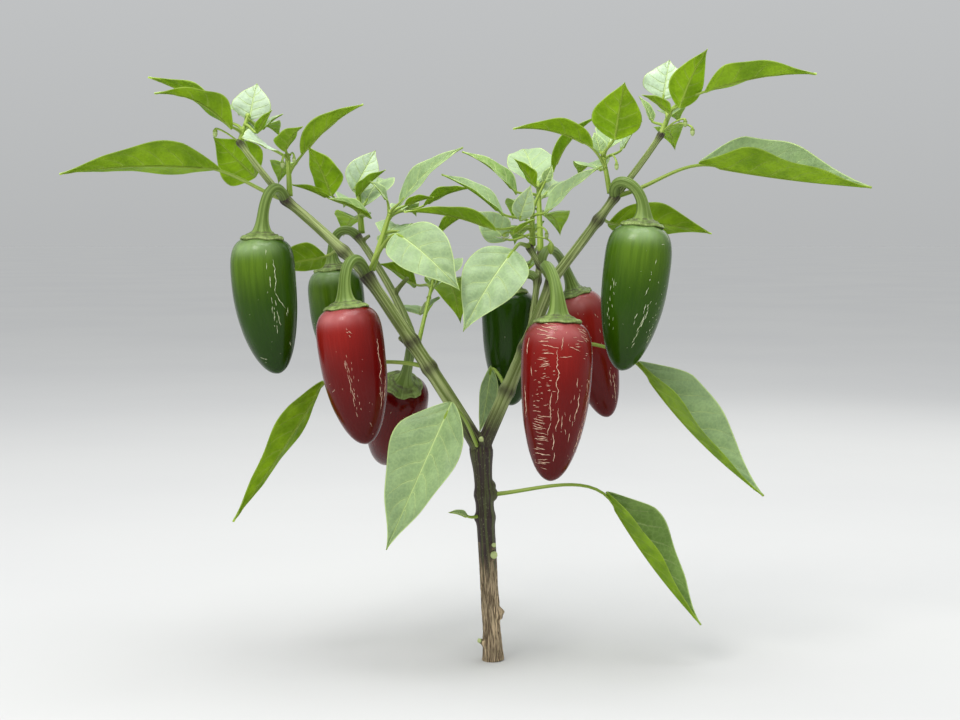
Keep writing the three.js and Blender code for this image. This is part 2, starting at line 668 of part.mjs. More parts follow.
for (const [name, limb] of Object.entries(LIMBS)) {
  const cutters = limb.carriers.map((carrier) => limbCutters[carrier]);
  addMesh(name, cutClear(limbSolid(name), cutters), limb.colour, 0.7);
  blockCurve(limbCurve(name), limb.radii[0]);
}

const allCutters = Object.values(limbCutters);

for (const [name, pepper] of Object.entries(PEPPERS)) {
  const colour = pepper.ripe ? COLOURS.red : COLOURS.green;
  addMesh(name, cutClear(pepperSolid(pepper), allCutters), colour, 0.25);
  const axis = bowedCurve(toVector(pepper.cap), toVector(pepper.tip), toVector(pepper.bow));
  blockCurve(axis, pepper.radius);
}

for (const [name, leaf] of Object.entries(SINGLE_LEAVES)) {
  const from = limbCurve(leaf.on).getPointAt(leaf.at);
  addMesh(name, cutClear(leafSolid(leaf, from, PETIOLE_RADIUS), allCutters), COLOURS.leaf, 0.45);
  blockLeaf(leaf);
}

for (const mass of Object.values(FOLIAGE)) {
  mass.leaves.forEach(blockLeaf);
  blockCurve(shootCurve(mass), mass.radius);
}

for (const [name, mass] of Object.entries(FOLIAGE)) {
  addMesh(name, cutClear(foliageSolid(mass), allCutters), COLOURS.foliage, 0.45);
}

export default plant;
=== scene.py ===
"""Dressed model of a chilli pepper plant: forked stem, glossy peppers, veined leaves and buds.

Sizes are in millimetres until a mesh is made, with +Z up and -Y towards the viewer.
"""

import logging
import math
from collections.abc import Sequence
from dataclasses import dataclass, field
from enum import Enum

import bpy
import numpy as np
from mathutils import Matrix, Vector, noise


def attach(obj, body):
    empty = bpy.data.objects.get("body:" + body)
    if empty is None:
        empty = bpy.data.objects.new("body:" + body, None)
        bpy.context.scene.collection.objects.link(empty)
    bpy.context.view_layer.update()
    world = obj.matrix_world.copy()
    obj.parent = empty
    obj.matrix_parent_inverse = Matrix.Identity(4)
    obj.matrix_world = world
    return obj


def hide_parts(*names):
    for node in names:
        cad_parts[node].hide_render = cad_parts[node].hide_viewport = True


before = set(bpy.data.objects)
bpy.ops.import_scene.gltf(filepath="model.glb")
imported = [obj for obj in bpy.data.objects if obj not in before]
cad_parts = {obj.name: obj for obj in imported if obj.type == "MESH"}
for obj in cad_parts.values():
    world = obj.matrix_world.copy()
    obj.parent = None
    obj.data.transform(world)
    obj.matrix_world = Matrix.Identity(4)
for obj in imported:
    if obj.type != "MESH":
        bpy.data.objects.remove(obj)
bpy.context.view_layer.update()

log = logging.getLogger("chilli_plant")

Point = tuple[float, float, float]
Colour = tuple[float, float, float]
Array = np.ndarray
Thing = bpy.types.Object
Material = bpy.types.Material
Socket = bpy.types.NodeSocket

MM = 0.001
BODY = "root"
STEM_RADIUS = 4.3
FOOT_FLARE = 1.1
PETIOLE_RADIUS = 0.9
SHOOT_LEAF_PETIOLE = 0.7
PEPPER_STALK_RADIUS = 2.4
PEPPER_CAP_SHARE = 0.66
FILLER_CLEARANCE = 3.5
FILLER_TRIES = 14
FILLER_SPREAD = math.radians(65)
GOLDEN_TURN = math.radians(137.5)
NONE = (0.0, 0.0, 0.0)
FRONT = np.array((0.0, -1.0, 0.0))
UP = np.array((0.0, 0.0, 1.0))


# Sizes of the plant's parts


@dataclass(frozen=True)
class Limb:
    """A stem or bough between two joints, with a swollen node at its end."""

    start: str
    end: str
    bow: Point
    radii: tuple[float, float]
    knuckle: float
    flare: float = 0.0


@dataclass(frozen=True)
class Pepper:
    """A pepper that hangs by a hooked stalk from a limb."""

    on: str
    at: float
    cap: Point
    tip: Point
    radius: float
    bow: Point
    hook: float
    lead: Point = NONE


@dataclass(frozen=True)
class Leaf:
    """A leaf with a petiole from a limb or a shoot, and a blade from base to tip."""

    at: float
    base: Point
    tip: Point
    half: float
    face: Point
    arch: float
    fold: float
    # how much a painted reflection of the sky lightens the blade
    pale: float = 0.35
    on: str = ""
    sway: float = 0.0
    lead: Point = NONE
    drawn: float = 0.3


@dataclass(frozen=True)
class Filler:
    """The rule that closes a mass of foliage with smaller leaves at the back."""

    count: int
    seed: int
    reach: Point
    blade: float


@dataclass(frozen=True)
class Mass:
    """A mass of foliage on one shoot."""

    start: Point
    top: Point
    radius: float
    leaves: tuple[Leaf, ...]
    filler: Filler


JOINTS = {
    "foot": (1, 0, 0),
    "fork": (-5, 0, 105.5),
    "left_first": (-61, -6, 192.5),
    "left_second": (-99.6, -14, 229),
    "left_tip": (-121, -16, 256),
    "rear_low": (-38, 3, 157),
    "rear_top": (-68, 34, 211),
    "right_first": (30.4, 0, 190),
    "right_second": (60, -12, 230.6),
    "right_tip": (81.6, -14, 260),
    "centre_top": (19, 8, 206),
    "behind_low": (17, 1, 150),
    "behind_top": (25, 20, 203),
}

# Each limb tapers between two joints: start, end, bow, radii, knuckle and flare. bow is how far
# its middle stands off the straight line, knuckle the radius of the swollen node that ends it.
LIMBS = {
    "trunk": Limb("foot", "fork", (0.3, 0, 0), (STEM_RADIUS, STEM_RADIUS + 0.3), 6.2, FOOT_FLARE),
    "bough_left_lower": Limb("fork", "left_first", (3, -1, -3), (4.1, 2.9), 4.1),
    "bough_left_upper": Limb("left_first", "left_second", (0.5, -1, 0.8), (2.8, 2.2), 3.0),
    "bough_left_tip": Limb("left_second", "left_tip", (0, 0, -0.6), (1.8, 1.3), 1.9),
    "bough_left_rear": Limb("rear_low", "rear_top", (4, 1, -2), (2.4, 1.7), 2.5),
    "bough_right_lower": Limb("fork", "right_first", (1.5, 1, 2), (3.9, 2.9), 3.9),
    "bough_right_upper": Limb("right_first", "right_second", (0, 0, -0.6), (2.7, 2.1), 2.9),
    "bough_right_tip": Limb("right_second", "right_tip", (0.4, 0, -0.4), (1.8, 1.4), 2.0),
    "bough_centre": Limb("right_first", "centre_top", (-0.8, 0, -0.4), (1.9, 1.6), 2.3),
    "bough_behind": Limb("behind_low", "behind_top", (0.5, 2.5, 0), (1.9, 1.5), 2.0),
}

# Each pepper hangs by a hooked stalk: on, at, cap, tip, radius, bow, hook and lead. The
# stalk leaves limb `on` at a share of its length, and hook is its rise above its higher end.
PEPPERS = {
    "pepper_left_green": Pepper(
        "bough_left_upper", 1, (-109.8, -22, 212), (-102, -23, 145.4), 15.8, (-2.2, 0, 0), 7.5,
        (-1, -4, 0),
    ),
    "pepper_left_red": Pepper(
        "bough_left_lower", 1, (-69.6, -25, 179), (-59.8, -27, 111.8), 16.4, (-0.6, 0, 0), 10,
        (-2, -7, 0),
    ),
    "pepper_rear_red": Pepper(
        "bough_left_lower", 0.62, (-43.8, 17, 138), (-56, 52, 93), 15.3, (0, 0, 0), 3,
    ),
    "pepper_rear_green": Pepper(
        "bough_left_rear", 1, (-81, 37, 196), (-76, 39, 141), 14.6, (0, 0, 0), 5, (-4, 0, 0),
    ),
    "pepper_centre_green": Pepper(
        "bough_behind", 0.75, (9.6, 27, 185), (10.4, 28, 125), 14.4, (0, 0, 0), 4,
    ),
    "pepper_front_red": Pepper(
        "bough_right_lower", 1, (31.2, -38, 173), (27.4, -42, 96), 17, (0.6, 0, 0), 9.5,
        (-10, -4, 0),
    ),
    "pepper_right_red": Pepper(
        "bough_centre", 0.45, (42, 27, 183.5), (60, 29, 119), 13.6, (0.4, 0, 0), 11,
    ),
    "pepper_right_green": Pepper(
        "bough_right_upper", 1, (72.4, -21, 218), (62, -25, 147), 16.3, (0.8, 0, 0), 9,
        (-6, -5, 0),
    ),
}

# Each leaf is at, base, tip, half, face, arch, fold, pale and on: a petiole from limb `on` at a
# share of its length to the blade's base, half the blade's width, a direction out of its upper
# side, how far the middle of its midrib stands off, how far its halves lift, in degrees, and pale,
# how much a painted reflection of the sky lightens the blade, most on its upper face.
SINGLE_LEAVES = {
    "leaf_left_reach": Leaf(
        1, (-131, -10, 243.6), (-205.5, -26, 240.8), 17.5, (0, 0.5, 0.87), 3.5, 15, 0.3,
        "bough_left_upper", lead=(2, 5, -9), drawn=0.55,
    ),
    "leaf_left_inner": Leaf(
        0.3, (-82, 12, 201), (-112, 20, 194), 10.5, (0, 0.8, 0.6), 2, 12, 0.1, "bough_left_upper",
        drawn=0.3,
    ),
    "leaf_left_pendent": Leaf(
        0.47, (-83, 0, 140), (-126.5, -14, 72), 14.5, (-0.8, 0.45, 0.4), -1, 12, 0.05,
        "bough_left_lower", drawn=0.4,
    ),
    "leaf_front_low": Leaf(
        0.97, (-19, -26, 132), (-50, -42, 63), 21, (-0.42, -0.88, 0.2), 4, 20, 0.33, "trunk", 2,
        drawn=0.35,
    ),
    "leaf_fork_rear": Leaf(
        0.35, (0, 18, 146), (-6, 30, 110), 5.5, (0.3, -0.9, 0.2), 2, 20, 0.3, "bough_right_lower",
        drawn=0.3,
    ),
    "leaf_centre_left": Leaf(
        1, (-45.6, -24, 212.7), (-14.8, -46, 186), 16, (-0.1, -0.75, 0.65), 4, 10, 0.37,
        "bough_left_lower", lead=(3, -2, 2), drawn=0,
    ),
    "leaf_centre_front": Leaf(
        1, (10.7, -22, 204.5), (-13.5, -42, 166.5), 17, (-0.1, -0.85, 0.5), 4, 8, 0.42,
        "bough_centre", lead=(-3, -4, -2), drawn=0,
    ),
    "leaf_right_reach": Leaf(
        1, (99.5, -16, 246.5), (180, -30, 234.5), 21, (0, -0.3, 0.95), -1.5, 50, 0.28,
        "bough_right_upper", lead=(4, 0, -8), drawn=0.5,
    ),
    "leaf_right_inner": Leaf(
        0.72, (58, 12, 217), (111, 20, 212.5), 14, (0, 0.7, 0.7), 4, 12, 0.1, "bough_right_upper",
        drawn=0.3,
    ),
    "leaf_right_pendent": Leaf(
        0.6, (72, -6, 150), (132, -22, 86), 20.5, (0.6, -0.56, 0.57), -5, 52, 0.34,
        "bough_right_lower", drawn=0.5,
    ),
    "leaf_right_low": Leaf(
        0.79, (56.6, -8, 86), (102.7, -18, 21.8), 19, (0.68, -0.56, 0.48), -3, 54, 0.05, "trunk",
        lead=(0, 0, -9), drawn=0.5,
    ),
    "leaf_trunk_small": Leaf(
        0.68, (-11, -6, 73), (-21, -10, 76), 2.6, (0, -0.5, 0.87), 1, 20, 0.2, "trunk", drawn=0.3,
    ),
}

# Each mass of foliage is the start, top and radius of its shoot, the leaves that stand out,
# and the filler that closes it at the back within an ellipsoid: count, seed, reach and blade.
# A leaf here is at, base, tip, half, face, arch, fold and pale, in the order of its class.
FOLIAGE = {
    "foliage_left_tip": Mass(JOINTS["left_tip"], (-117, -12, 270), 1.2, (
        Leaf(0.3, (-124, -20, 262), (-158, -36, 278), 13, (0.3, 0.4, 0.85), 6, 16, 0.16),
        Leaf(0.4, (-128, -4, 266), (-169, 8, 289.5), 10, (0.4, 0.5, 0.8), 3, 18, 0.16),
        Leaf(0.8, (-117, -10, 267), (-114, -2, 285.5), 10.5, (0, -0.9, 0.3), 1, 8, 0.99),
        Leaf(0.6, (-112, -20, 260), (-104, -26, 271), 3.6, (-0.6, 0.6, 0.6), 1, 15, 0.16),
        Leaf(0.8, (-112, -8, 262), (-102, 2, 271), 3.6, (-0.6, -0.5, 0.6), 1, 15, 0.76),
        Leaf(0.15, (-116, 4, 240), (-137, 6, 260), 13.5, (-0.1, 0.95, 0.1), 2, 8, 0.16),
    ), Filler(4, 11, (30, 62, 34), 40)),
    "foliage_left_middle": Mass((-97.5, -11.5, 230.5), (-98, -14, 251), 1.4, (
        Leaf(0.85, (-106, -18, 253), (-117, -40, 257), 10, (0.2, -0.6, 0.8), 1, 10, 0.99),
        Leaf(0.9, (-99, -17, 251.5), (-89, -30, 263), 8, (-0.5, 0.3, 0.8), 2, 25, 0.91),
        Leaf(0.5, (-91.4, -13, 250), (-61, -22, 274), 9.5, (-0.4, 0.35, 0.85), 3, 25, 0.48),
    ), Filler(4, 23, (28, 66, 34), 44)),
    "foliage_rear_left": Mass((-66, 36.5, 212.5), (-68, 38, 238), 1.6, (
        Leaf(0.35, (-60, 22, 220), (-81, 12, 230), 6.5, (0.3, -0.3, 0.9), 2, 20, 0.08),
        Leaf(0.8, (-68.5, 32, 231), (-53.6, 34, 245), 7, (-0.6, 0.3, 0.7), 1, 18, 0.83),
        Leaf(0.5, (-79.5, 16, 231), (-91, 10, 256), 10, (0.4, 0.8, 0.4), 2, 12, 0.16),
        Leaf(0.9, (-71, 46, 234), (-60, 58, 256), 9.5, (0.2, -0.9, 0.3), 2, 10, 0.91),
        Leaf(0.4, (-81, 24, 230), (-100, 16, 237), 4.5, (0.3, 0.3, 0.9), 1, 20, 0.16),
    ), Filler(8, 37, (34, 84, 44), 52)),
    "foliage_centre_left": Mass((-58.5, -3.5, 194.5), (-49, -3, 224), 1.6, (
        Leaf(0.9, (-50.6, -2, 228), (-59, -10, 238), 4.5, (0.5, -0.5, 0.7), 1, 15, 0.36),
        Leaf(0.95, (-45, -6, 226), (-13.7, -14, 254), 10.5, (-0.5, -0.5, 0.7), 3, 14, 0.3),
        Leaf(0.85, (-34, 16, 226), (-10.5, 24, 235.5), 7, (-0.3, 0.4, 0.85), 2, 15, 0.16),
        Leaf(0.9, (-43, 6, 226), (-28.4, 8, 230.5), 4, (0, 0.5, 0.85), 1, 20, 0.16),
        Leaf(0.6, (-27, 4, 212), (-12.5, 14, 222), 7, (-0.4, 0.5, 0.75), 1, 16, 0.16),
    ), Filler(3, 41, (30, 60, 34), 42)),
    "foliage_left_behind": Mass((-36, 3, 158), (-29, 22, 190), 1.1, (
        Leaf(0.85, (-38, 34, 186), (-58, 48, 197), 8, (0.3, 0.7, 0.6), 2, 12, 0.25),
        Leaf(0.6, (-36, 36, 171), (-34, 76, 168), 12, (-0.2, -0.3, 0.9), 5, 15, 0.25),
        Leaf(0.95, (-24, 42, 188), (-16, 88, 164), 15, (0, 0.3, 0.9), 8, 12, 0.25),
    ), Filler(4, 53, (26, 84, 50), 52)),
    "foliage_centre": Mass((20.5, 8.5, 207), (20, -4, 224), 1.6, (
        Leaf(0.6, (6, -10, 221), (-24, -16, 241), 10, (0.4, -0.3, 0.85), 2, 18, 0.3),
        Leaf(0.4, (2.4, -14, 214), (-42, -22, 223), 9, (0.1, 0.3, 0.95), 3, 18, 0.41),
        Leaf(0.8, (13.5, -16, 219), (19, -20, 236), 6, (0, -0.95, 0.2), 1, 12, 0.54),
        Leaf(0.8, (25.5, -10, 221), (53, -16, 245), 8.5, (-0.4, -0.4, 0.8), 2, 16, 0.36),
        Leaf(0.95, (26, -2, 237), (30, 0, 246), 3.2, (0, -0.9, 0.3), 0.5, 12, 0.16),
        Leaf(0.5, (10.5, -20, 212.5), (21, -27, 219.5), 3.4, (0, -0.3, 0.95), 0.8, 20, 0.61),
    ), Filler(2, 61, (28, 50, 34), 36)),
    "foliage_behind": Mass(JOINTS["behind_top"], (24, 28, 238), 1.6, (
        Leaf(0.8, (13, 24, 232), (-14.6, 30, 254), 9, (0.5, -0.3, 0.8), 3, 16, 0.05),
        Leaf(0.9, (22, 20, 236), (11.6, 20, 250), 6, (0.5, 0.5, 0.6), 1, 14, 0.03),
        Leaf(0.98, (23, 42, 238), (17, 70, 257), 14, (0, -0.6, 0.8), 4, 14, 0.5),
        Leaf(0.9, (31, 18, 243), (53, 20, 271), 7.5, (-0.6, 0.4, 0.6), 4, 18, 0.16),
        Leaf(0.25, (8, 26, 209), (-8, 30, 224), 9, (0, -0.9, 0.3), 2, 12, 0.36),
        Leaf(0.1, (20, 40, 196), (12, 84, 184), 13, (0, 0.1, 1), 6, 14, 0.25),
    ), Filler(8, 73, (32, 84, 48), 52)),
    "foliage_right_middle": Mass((57.5, -9.5, 232), (53.5, -13, 252), 1.3, (
        Leaf(0.6, (48.6, -18, 253.5), (10, -28, 262), 10, (0, 0.35, 0.94), 4, 25, 0.16),
        Leaf(0.9, (58.8, -21, 257), (63, -27, 284), 13.5, (-0.1, 0.95, 0.2), 2, 10, 0.16),
        Leaf(0.8, (62.5, -11, 252), (73, -8, 267), 3.5, (-0.7, -0.4, 0.5), 1, 18, 0.76),
        Leaf(0.9, (53, -8, 251), (50, -3, 262), 4, (0, -0.8, 0.5), 1, 15, 0.36),
    ), Filler(5, 83, (28, 74, 38), 48)),
    "foliage_right_tip": Mass(JOINTS["right_tip"], (87, -12, 273), 1.4, (
        Leaf(0.6, (83.5, -3, 277.5), (87.5, 5, 297.5), 12, (-0.1, -0.9, 0.4), 1, 8, 1),
        Leaf(0.8, (89.5, -21, 272), (102, -27, 299.6), 10, (-0.3, 0.9, 0.2), 3, 10, 0.16),
        Leaf(0.9, (102, -18, 280), (153, -31, 287.5), 13, (0, 0.4, 0.9), 3.5, 22, 0.76),
        Leaf(0.5, (85.5, -20, 269.5), (71, -27, 278), 4.2, (0.2, 0.5, 0.8), 1.5, 22, 0.16),
        Leaf(0.3, (77.6, -10, 266), (71.6, -6, 279), 3.6, (0.6, -0.6, 0.4), 1, 18, 0.16),
    ), Filler(4, 97, (28, 66, 34), 44)),
}


# Curves and seeded numbers


def floats(values: Sequence[float]) -> Array:
    """Return numbers as an array."""
    return np.array(values, float)


def unit(vectors: Array) -> Array:
    """Return a vector, or rows of them, at length 1."""
    return vectors / np.linalg.norm(vectors, axis=-1, keepdims=True)


def held(values: Array | float) -> Array:
    """Return values held between 0 and 1."""
    return np.clip(values, 0, 1)


def bell(off: Array | float) -> Array:
    """Return 1 where off is 0, falling softly to both sides."""
    return np.exp(-(off**2))


def fade(share: Array | float, over: float) -> Array:
    """Return 1 at the start, falling softly over a distance."""
    return np.exp(-share / over)


class Seeded:
    """A repeatable stream of numbers between 0 and 1."""

    FACTOR = 16807
    MODULUS = 2147483647

    def __init__(self, seed: int) -> None:
        """Start the stream from any whole number above 0."""
        self.state = seed

    def next(self) -> float:
        """Return the next number."""
        self.state = self.state * self.FACTOR % self.MODULUS
        return self.state / self.MODULUS

    def around(self) -> float:
        """Return the next number less a half."""
        return self.next() - 0.5


class Bezier:
    """A Bezier curve, in millimetres, that can be read at even steps of its length."""

    SAMPLES = 200

    def __init__(self, *controls: Sequence[float]) -> None:
        """Measure the curve.

        Args:
            controls: three or four control points.
        """
        self.controls = floats(controls)
        self.shares = np.linspace(0.0, 1.0, self.SAMPLES + 1)
        steps = np.linalg.norm(np.diff(self.at(self.shares), axis=0), axis=1)
        self.lengths = np.concatenate([[0.0], np.cumsum(steps)])
        self.length = float(self.lengths[-1])

    @staticmethod
    def blend(points: Array, share: Array | float) -> Array:
        """Return the Bezier blend of points.

        Args:
            points: control points.
            share: places from 0 to 1.
        """
        t = np.asarray(share, float)[..., None]
        last = len(points) - 1
        weights = (math.comb(last, k) * (1 - t) ** (last - k) * t**k for k in range(last + 1))
        return sum(weight * point for weight, point in zip(weights, points))

    def at(self, share: Array | float) -> Array:
        """Return the points at shares of the curve's parameter."""
        return self.blend(self.controls, share)

    def along(self, share: Array | float) -> Array:
        """Return the directions at shares of the curve's parameter."""
        return unit(self.blend(np.diff(self.controls, axis=0), share))

    def point(self, share: Array | float) -> Array:
        """Return the points at shares of the curve's length."""
        return self.at(np.interp(np.asarray(share) * self.length, self.lengths, self.shares))


def bowed(start: Sequence[float], end: Sequence[float], bow: Sequence[float] = NONE) -> Bezier:
    """Return a curve whose middle stands off the straight line by a vector."""
    return Bezier(start, (floats(start) + floats(end)) / 2 + 2 * floats(bow), end)


def limb_curve(name: str) -> Bezier:
    """Return the middle line of a limb by name."""
    limb = LIMBS[name]
    return bowed(JOINTS[limb.start], JOINTS[limb.end], limb.bow)


def limb_radius(limb: Limb, share: Array | float) -> Array:
    """Return a limb's plain radius at shares of its length."""
    low, high = limb.radii
    return low + (high - low) * share + limb.flare * fade(share, 0.12)


def petiole_curve(start: Array, base: Array, into: Array, lead: Point) -> Bezier:
    """Return the line of a petiole that rises from its limb and runs into the blade.

    Args:
        start: where it leaves.
        base: where the blade takes over.
        into: direction of the blade there.
        lead: how far its start is drawn aside.
    """
    reach = 0.35 * np.linalg.norm(base - start)
    out = unit(unit(base - start) + 0.5 * UP)
    return Bezier(start, start + out * reach + floats(lead), base - into * reach, base)


def stalk_curve(start: Array, cap: Array, axis: Array, hook: float, lead: Point) -> Bezier:
    """Return the line of a pepper's stalk, which rises, turns over and comes down.

    Args:
        start: where it leaves its limb.
        cap: middle of the cap.
        axis: direction of the fruit.
        hook: rise above the higher end.
        lead: how far its start is drawn aside.
    """
    rise = max(cap[2] - start[2], 0.0) + hook
    first = start + (cap - start) * 0.1 + floats(lead)
    first[2] = start[2] + rise * 1.25
    second = cap - axis * (start[2] + rise - cap[2])
    return Bezier(start, first, second, cap)


def carried_frames(places: Array, first: Array) -> tuple[Array, Array, Array]:
    """Carry a cross direction smoothly along a row of points.

    Args:
        places: points along a line.
        first: rough cross direction at its start.

    Returns:
        Directions along, across and square to both, at each point.
    """
    along = unit(np.gradient(places, axis=0))
    across = np.empty_like(places)
    hint = first
    for i, direction in enumerate(along):
        hint = unit(hint - direction * hint.dot(direction))
        across[i] = hint
    return along, across, np.cross(along, across)


# Small meshes from arrays


def write_note(piece: Thing, key: str, values: Array) -> None:
    """Keep a vector at each vertex of an object, for its finish to read."""
    note = piece.data.attributes.new(key, "FLOAT_VECTOR", "POINT")
    note.data.foreach_set("vector", values.astype(np.float32).ravel())


@dataclass
class Skin:
    """Many small shapes gathered into one mesh, with values kept at each vertex."""

    name: str
    places: list[Array] = field(default_factory=list)
    faces: list[tuple[int, ...]] = field(default_factory=list)
    looks: list[int] = field(default_factory=list)
    notes: dict[str, list[Array]] = field(default_factory=dict)
    count: int = 0

    def add(self, places: Array, faces: Array, look: int = 0, **notes: Array) -> None:
        """Add a shape.

        Args:
            places: its vertices, in millimetres.
            faces: rows of vertex numbers within the shape.
            look: number of its finish.
            notes: values for each vertex, three to a row.
        """
        self.places.append(places)
        self.more(faces, self.count, look)
        for key, values in notes.items():
            self.notes.setdefault(key, []).append(values)
        self.count += len(places)

    def more(self, faces: Array, offset: int, look: int = 0) -> None:
        """Add faces to a shape whose first vertex has the number offset."""
        self.faces.extend(map(tuple, (faces + offset).tolist()))
        self.looks.extend([look] * len(faces))

    def build(self, finishes: Sequence[Material]) -> Thing:
        """Make the joined object.

        Args:
            finishes: materials in the order of the look numbers.

        Returns:
            The new object, smooth shaded.
        """
        mesh = bpy.data.meshes.new(self.name)
        mesh.from_pydata((np.concatenate(self.places) * MM).tolist(), [], self.faces)
        piece = bpy.data.objects.new(self.name, mesh)
        for key, values in self.notes.items():
            write_note(piece, key, np.concatenate(values))
        for finish in finishes:
            mesh.materials.append(finish)
        mesh.polygons.foreach_set("material_index", np.array(self.looks, np.int32))
        mesh.shade_smooth()
        bpy.context.scene.collection.objects.link(piece)
        return piece


def grid_faces(rows: int, columns: int, closed: bool) -> Array:
    """Return the quads of a grid of vertices, wound to face out of a tube.

    Args:
        rows: rows of vertices along.
        columns: vertices in each row.
        closed: whether each row is a ring.
    """
    i = np.arange(rows - 1)[:, None] * columns
    j = np.arange(columns if closed else columns - 1)[None, :]
    k = (j + 1) % columns
    quads = np.stack([i + j, i + k, i + columns + k, i + columns + j], axis=-1)
    return quads.reshape(-1, 4)


def fan_faces(ring: Array, pole: int) -> Array:
    """Return triangles from a row of vertices to one pole, wound along the row."""
    return np.stack([ring[:-1], ring[1:], np.full(len(ring) - 1, pole)], axis=1)


def add_tube(
    skin: Skin, places: Array, radii: Array, sides: int, look: int = 0, tone: float = 0.0,
    woody: Array | float = 0.0,
) -> None:
    """Add a closed round bar along a row of points.

    Args:
        skin: mesh that gets it.
        places: points along its middle.
        radii: radius at each point.
        sides: vertices round each ring.
        look: number of its finish.
        tone: value from 0 to 1 kept at each vertex.
        woody: value from 0 to 1 at each point.
    """
    _, across, square = carried_frames(places, np.array((0.0, -1.0, 0.1)))
    turn = np.arange(sides) * 2 * math.pi / sides
    round_x, round_y = np.cos(turn), np.sin(turn)
    ring = round_x[None, :, None] * across[:, None] + round_y[None, :, None] * square[:, None]
    body = (places[:, None] + ring * radii[:, None, None]).reshape(-1, 3)
    count = len(body)
    vertices = np.vstack([body, places[[0, -1]]])
    steps = np.concatenate([[0], np.cumsum(np.linalg.norm(np.diff(places, axis=0), axis=1))])
    grain = np.empty((len(vertices), 3))
    grain[:count, 0] = np.tile(round_x, len(places))
    grain[:count, 1] = np.tile(round_y, len(places))
    grain[:count, 2] = np.repeat(steps, sides)
    grain[count:] = ((1, 0, 0), (1, 0, steps[-1]))
    dry = np.broadcast_to(woody, len(places))
    stem = np.zeros((len(vertices), 3))
    stem[:, 0] = np.append(np.repeat(dry, sides), dry[[0, -1]])
    stem[:, 2] = tone
    start = skin.count
    skin.add(vertices, grid_faces(len(places), sides, True), look, grain=grain, stem_tone=stem)
    first = np.append(np.arange(sides), 0)
    skin.more(fan_faces(first[::-1], count), start, look)
    skin.more(fan_faces(first + (len(places) - 1) * sides, count + 1), start, look)


# Leaves


class BladeShape:
    """The surface of one leaf blade over its length and width."""

    VEIN_GAP = 10.0
    VEIN_SLANT = 0.2
    QUILT = 0.042
    PUFF = 0.055
    LARGE_BLADE = 30.0
    EDGE_THICKNESS = 0.22
    THICKNESS_SHARE = 0.006

    def __init__(self, leaf: Leaf, seed: int) -> None:
        """Work out the blade's midrib and directions.

        Args:
            leaf: sizes of the leaf.
            seed: number that makes its ripples its own.
        """
        self.leaf = leaf
        reach = floats(leaf.tip) - leaf.base
        self.length = float(np.linalg.norm(reach))
        self.large = self.length > self.LARGE_BLADE
        chord = unit(reach)
        face = floats(leaf.face)
        self.face = unit(face - chord * face.dot(chord))
        across = np.cross(self.face, chord)
        self.midrib = bowed(leaf.base, leaf.tip, self.face * leaf.arch + across * leaf.sway)
        self.fold = math.radians(leaf.fold)
        self.veins = max(5, min(8, round(self.length / self.VEIN_GAP)))
        random = Seeded(seed * 977 + 13)
        self.tone = random.next()
        self.phase = random.next() * 2 * math.pi
        self.ripple = 0.04 + 0.05 * random.next()
        self.twist = random.around() * 0.25

    @staticmethod
    def width_at(share: Array | float) -> Array:
        """Return the blade's width at shares of its length, as a share of its widest."""
        return np.sin(math.pi * share**0.68) * (1 - 0.22 * share)

    def frame_at(self, share: Array | float) -> tuple[Array, Array, Array, Array]:
        """Read the midrib.

        Args:
            share: places along it, 0 to 1.

        Returns:
            Its point, and the directions along, across and out of the blade.
        """
        along = self.midrib.along(share)
        side = unit(np.cross(self.face, along))
        return self.midrib.at(share), along, side, np.cross(along, side)

    def outline_at(self, share: Array) -> Array:
        """Return the half width, drawn out to base and tip.

        Args:
            share: places along the blade, 0 to 1.
        """
        tip = 1 - 0.4 * held((share - 0.7) / 0.3) ** 1.5
        base = 1 - self.leaf.drawn * held(1 - share / 0.24) ** 1.3
        return self.leaf.half * self.width_at(share) * tip * base

    def vein_phase(self, share: Array, across: Array) -> Array:
        """Return a value that is whole along each side vein."""
        slant = self.VEIN_SLANT * np.abs(across) ** 1.25
        return self.veins * (share - slant) + 0.25 * np.clip(across / 0.08, -1, 1)

    def surface(self, share: Array, across: Array) -> Array:
        """Return points on the upper face.

        Args:
            share: places along the blade, 0 to 1.
            across: places across it, -1 to 1.

        Returns:
            Points, three to a row of the last axis.
        """
        point, _, side, out = self.frame_at(share)
        reach = self.outline_at(share)
        size = np.abs(across)
        turn = 2 * math.pi
        rise = reach * math.sin(self.fold) * size**1.12
        puff = reach * self.PUFF * np.sin(math.pi * size) * (1 if self.leaf.fold < 40 else 0.6)
        wave = np.sin(turn * (2.2 * share) + self.phase + np.sign(across) * 1.3)
        wave = reach * self.ripple * size**3 * wave
        quilt = -self.QUILT * self.length / self.veins * np.cos(turn * self.vein_phase(share, across))
        quilt = quilt * held(size * 5) * (1 - size**4)
        height = rise + puff + wave + quilt + self.twist * across * reach * share
        wide = across * reach * math.cos(self.fold)
        return point + side * wide[..., None] + out * height[..., None]


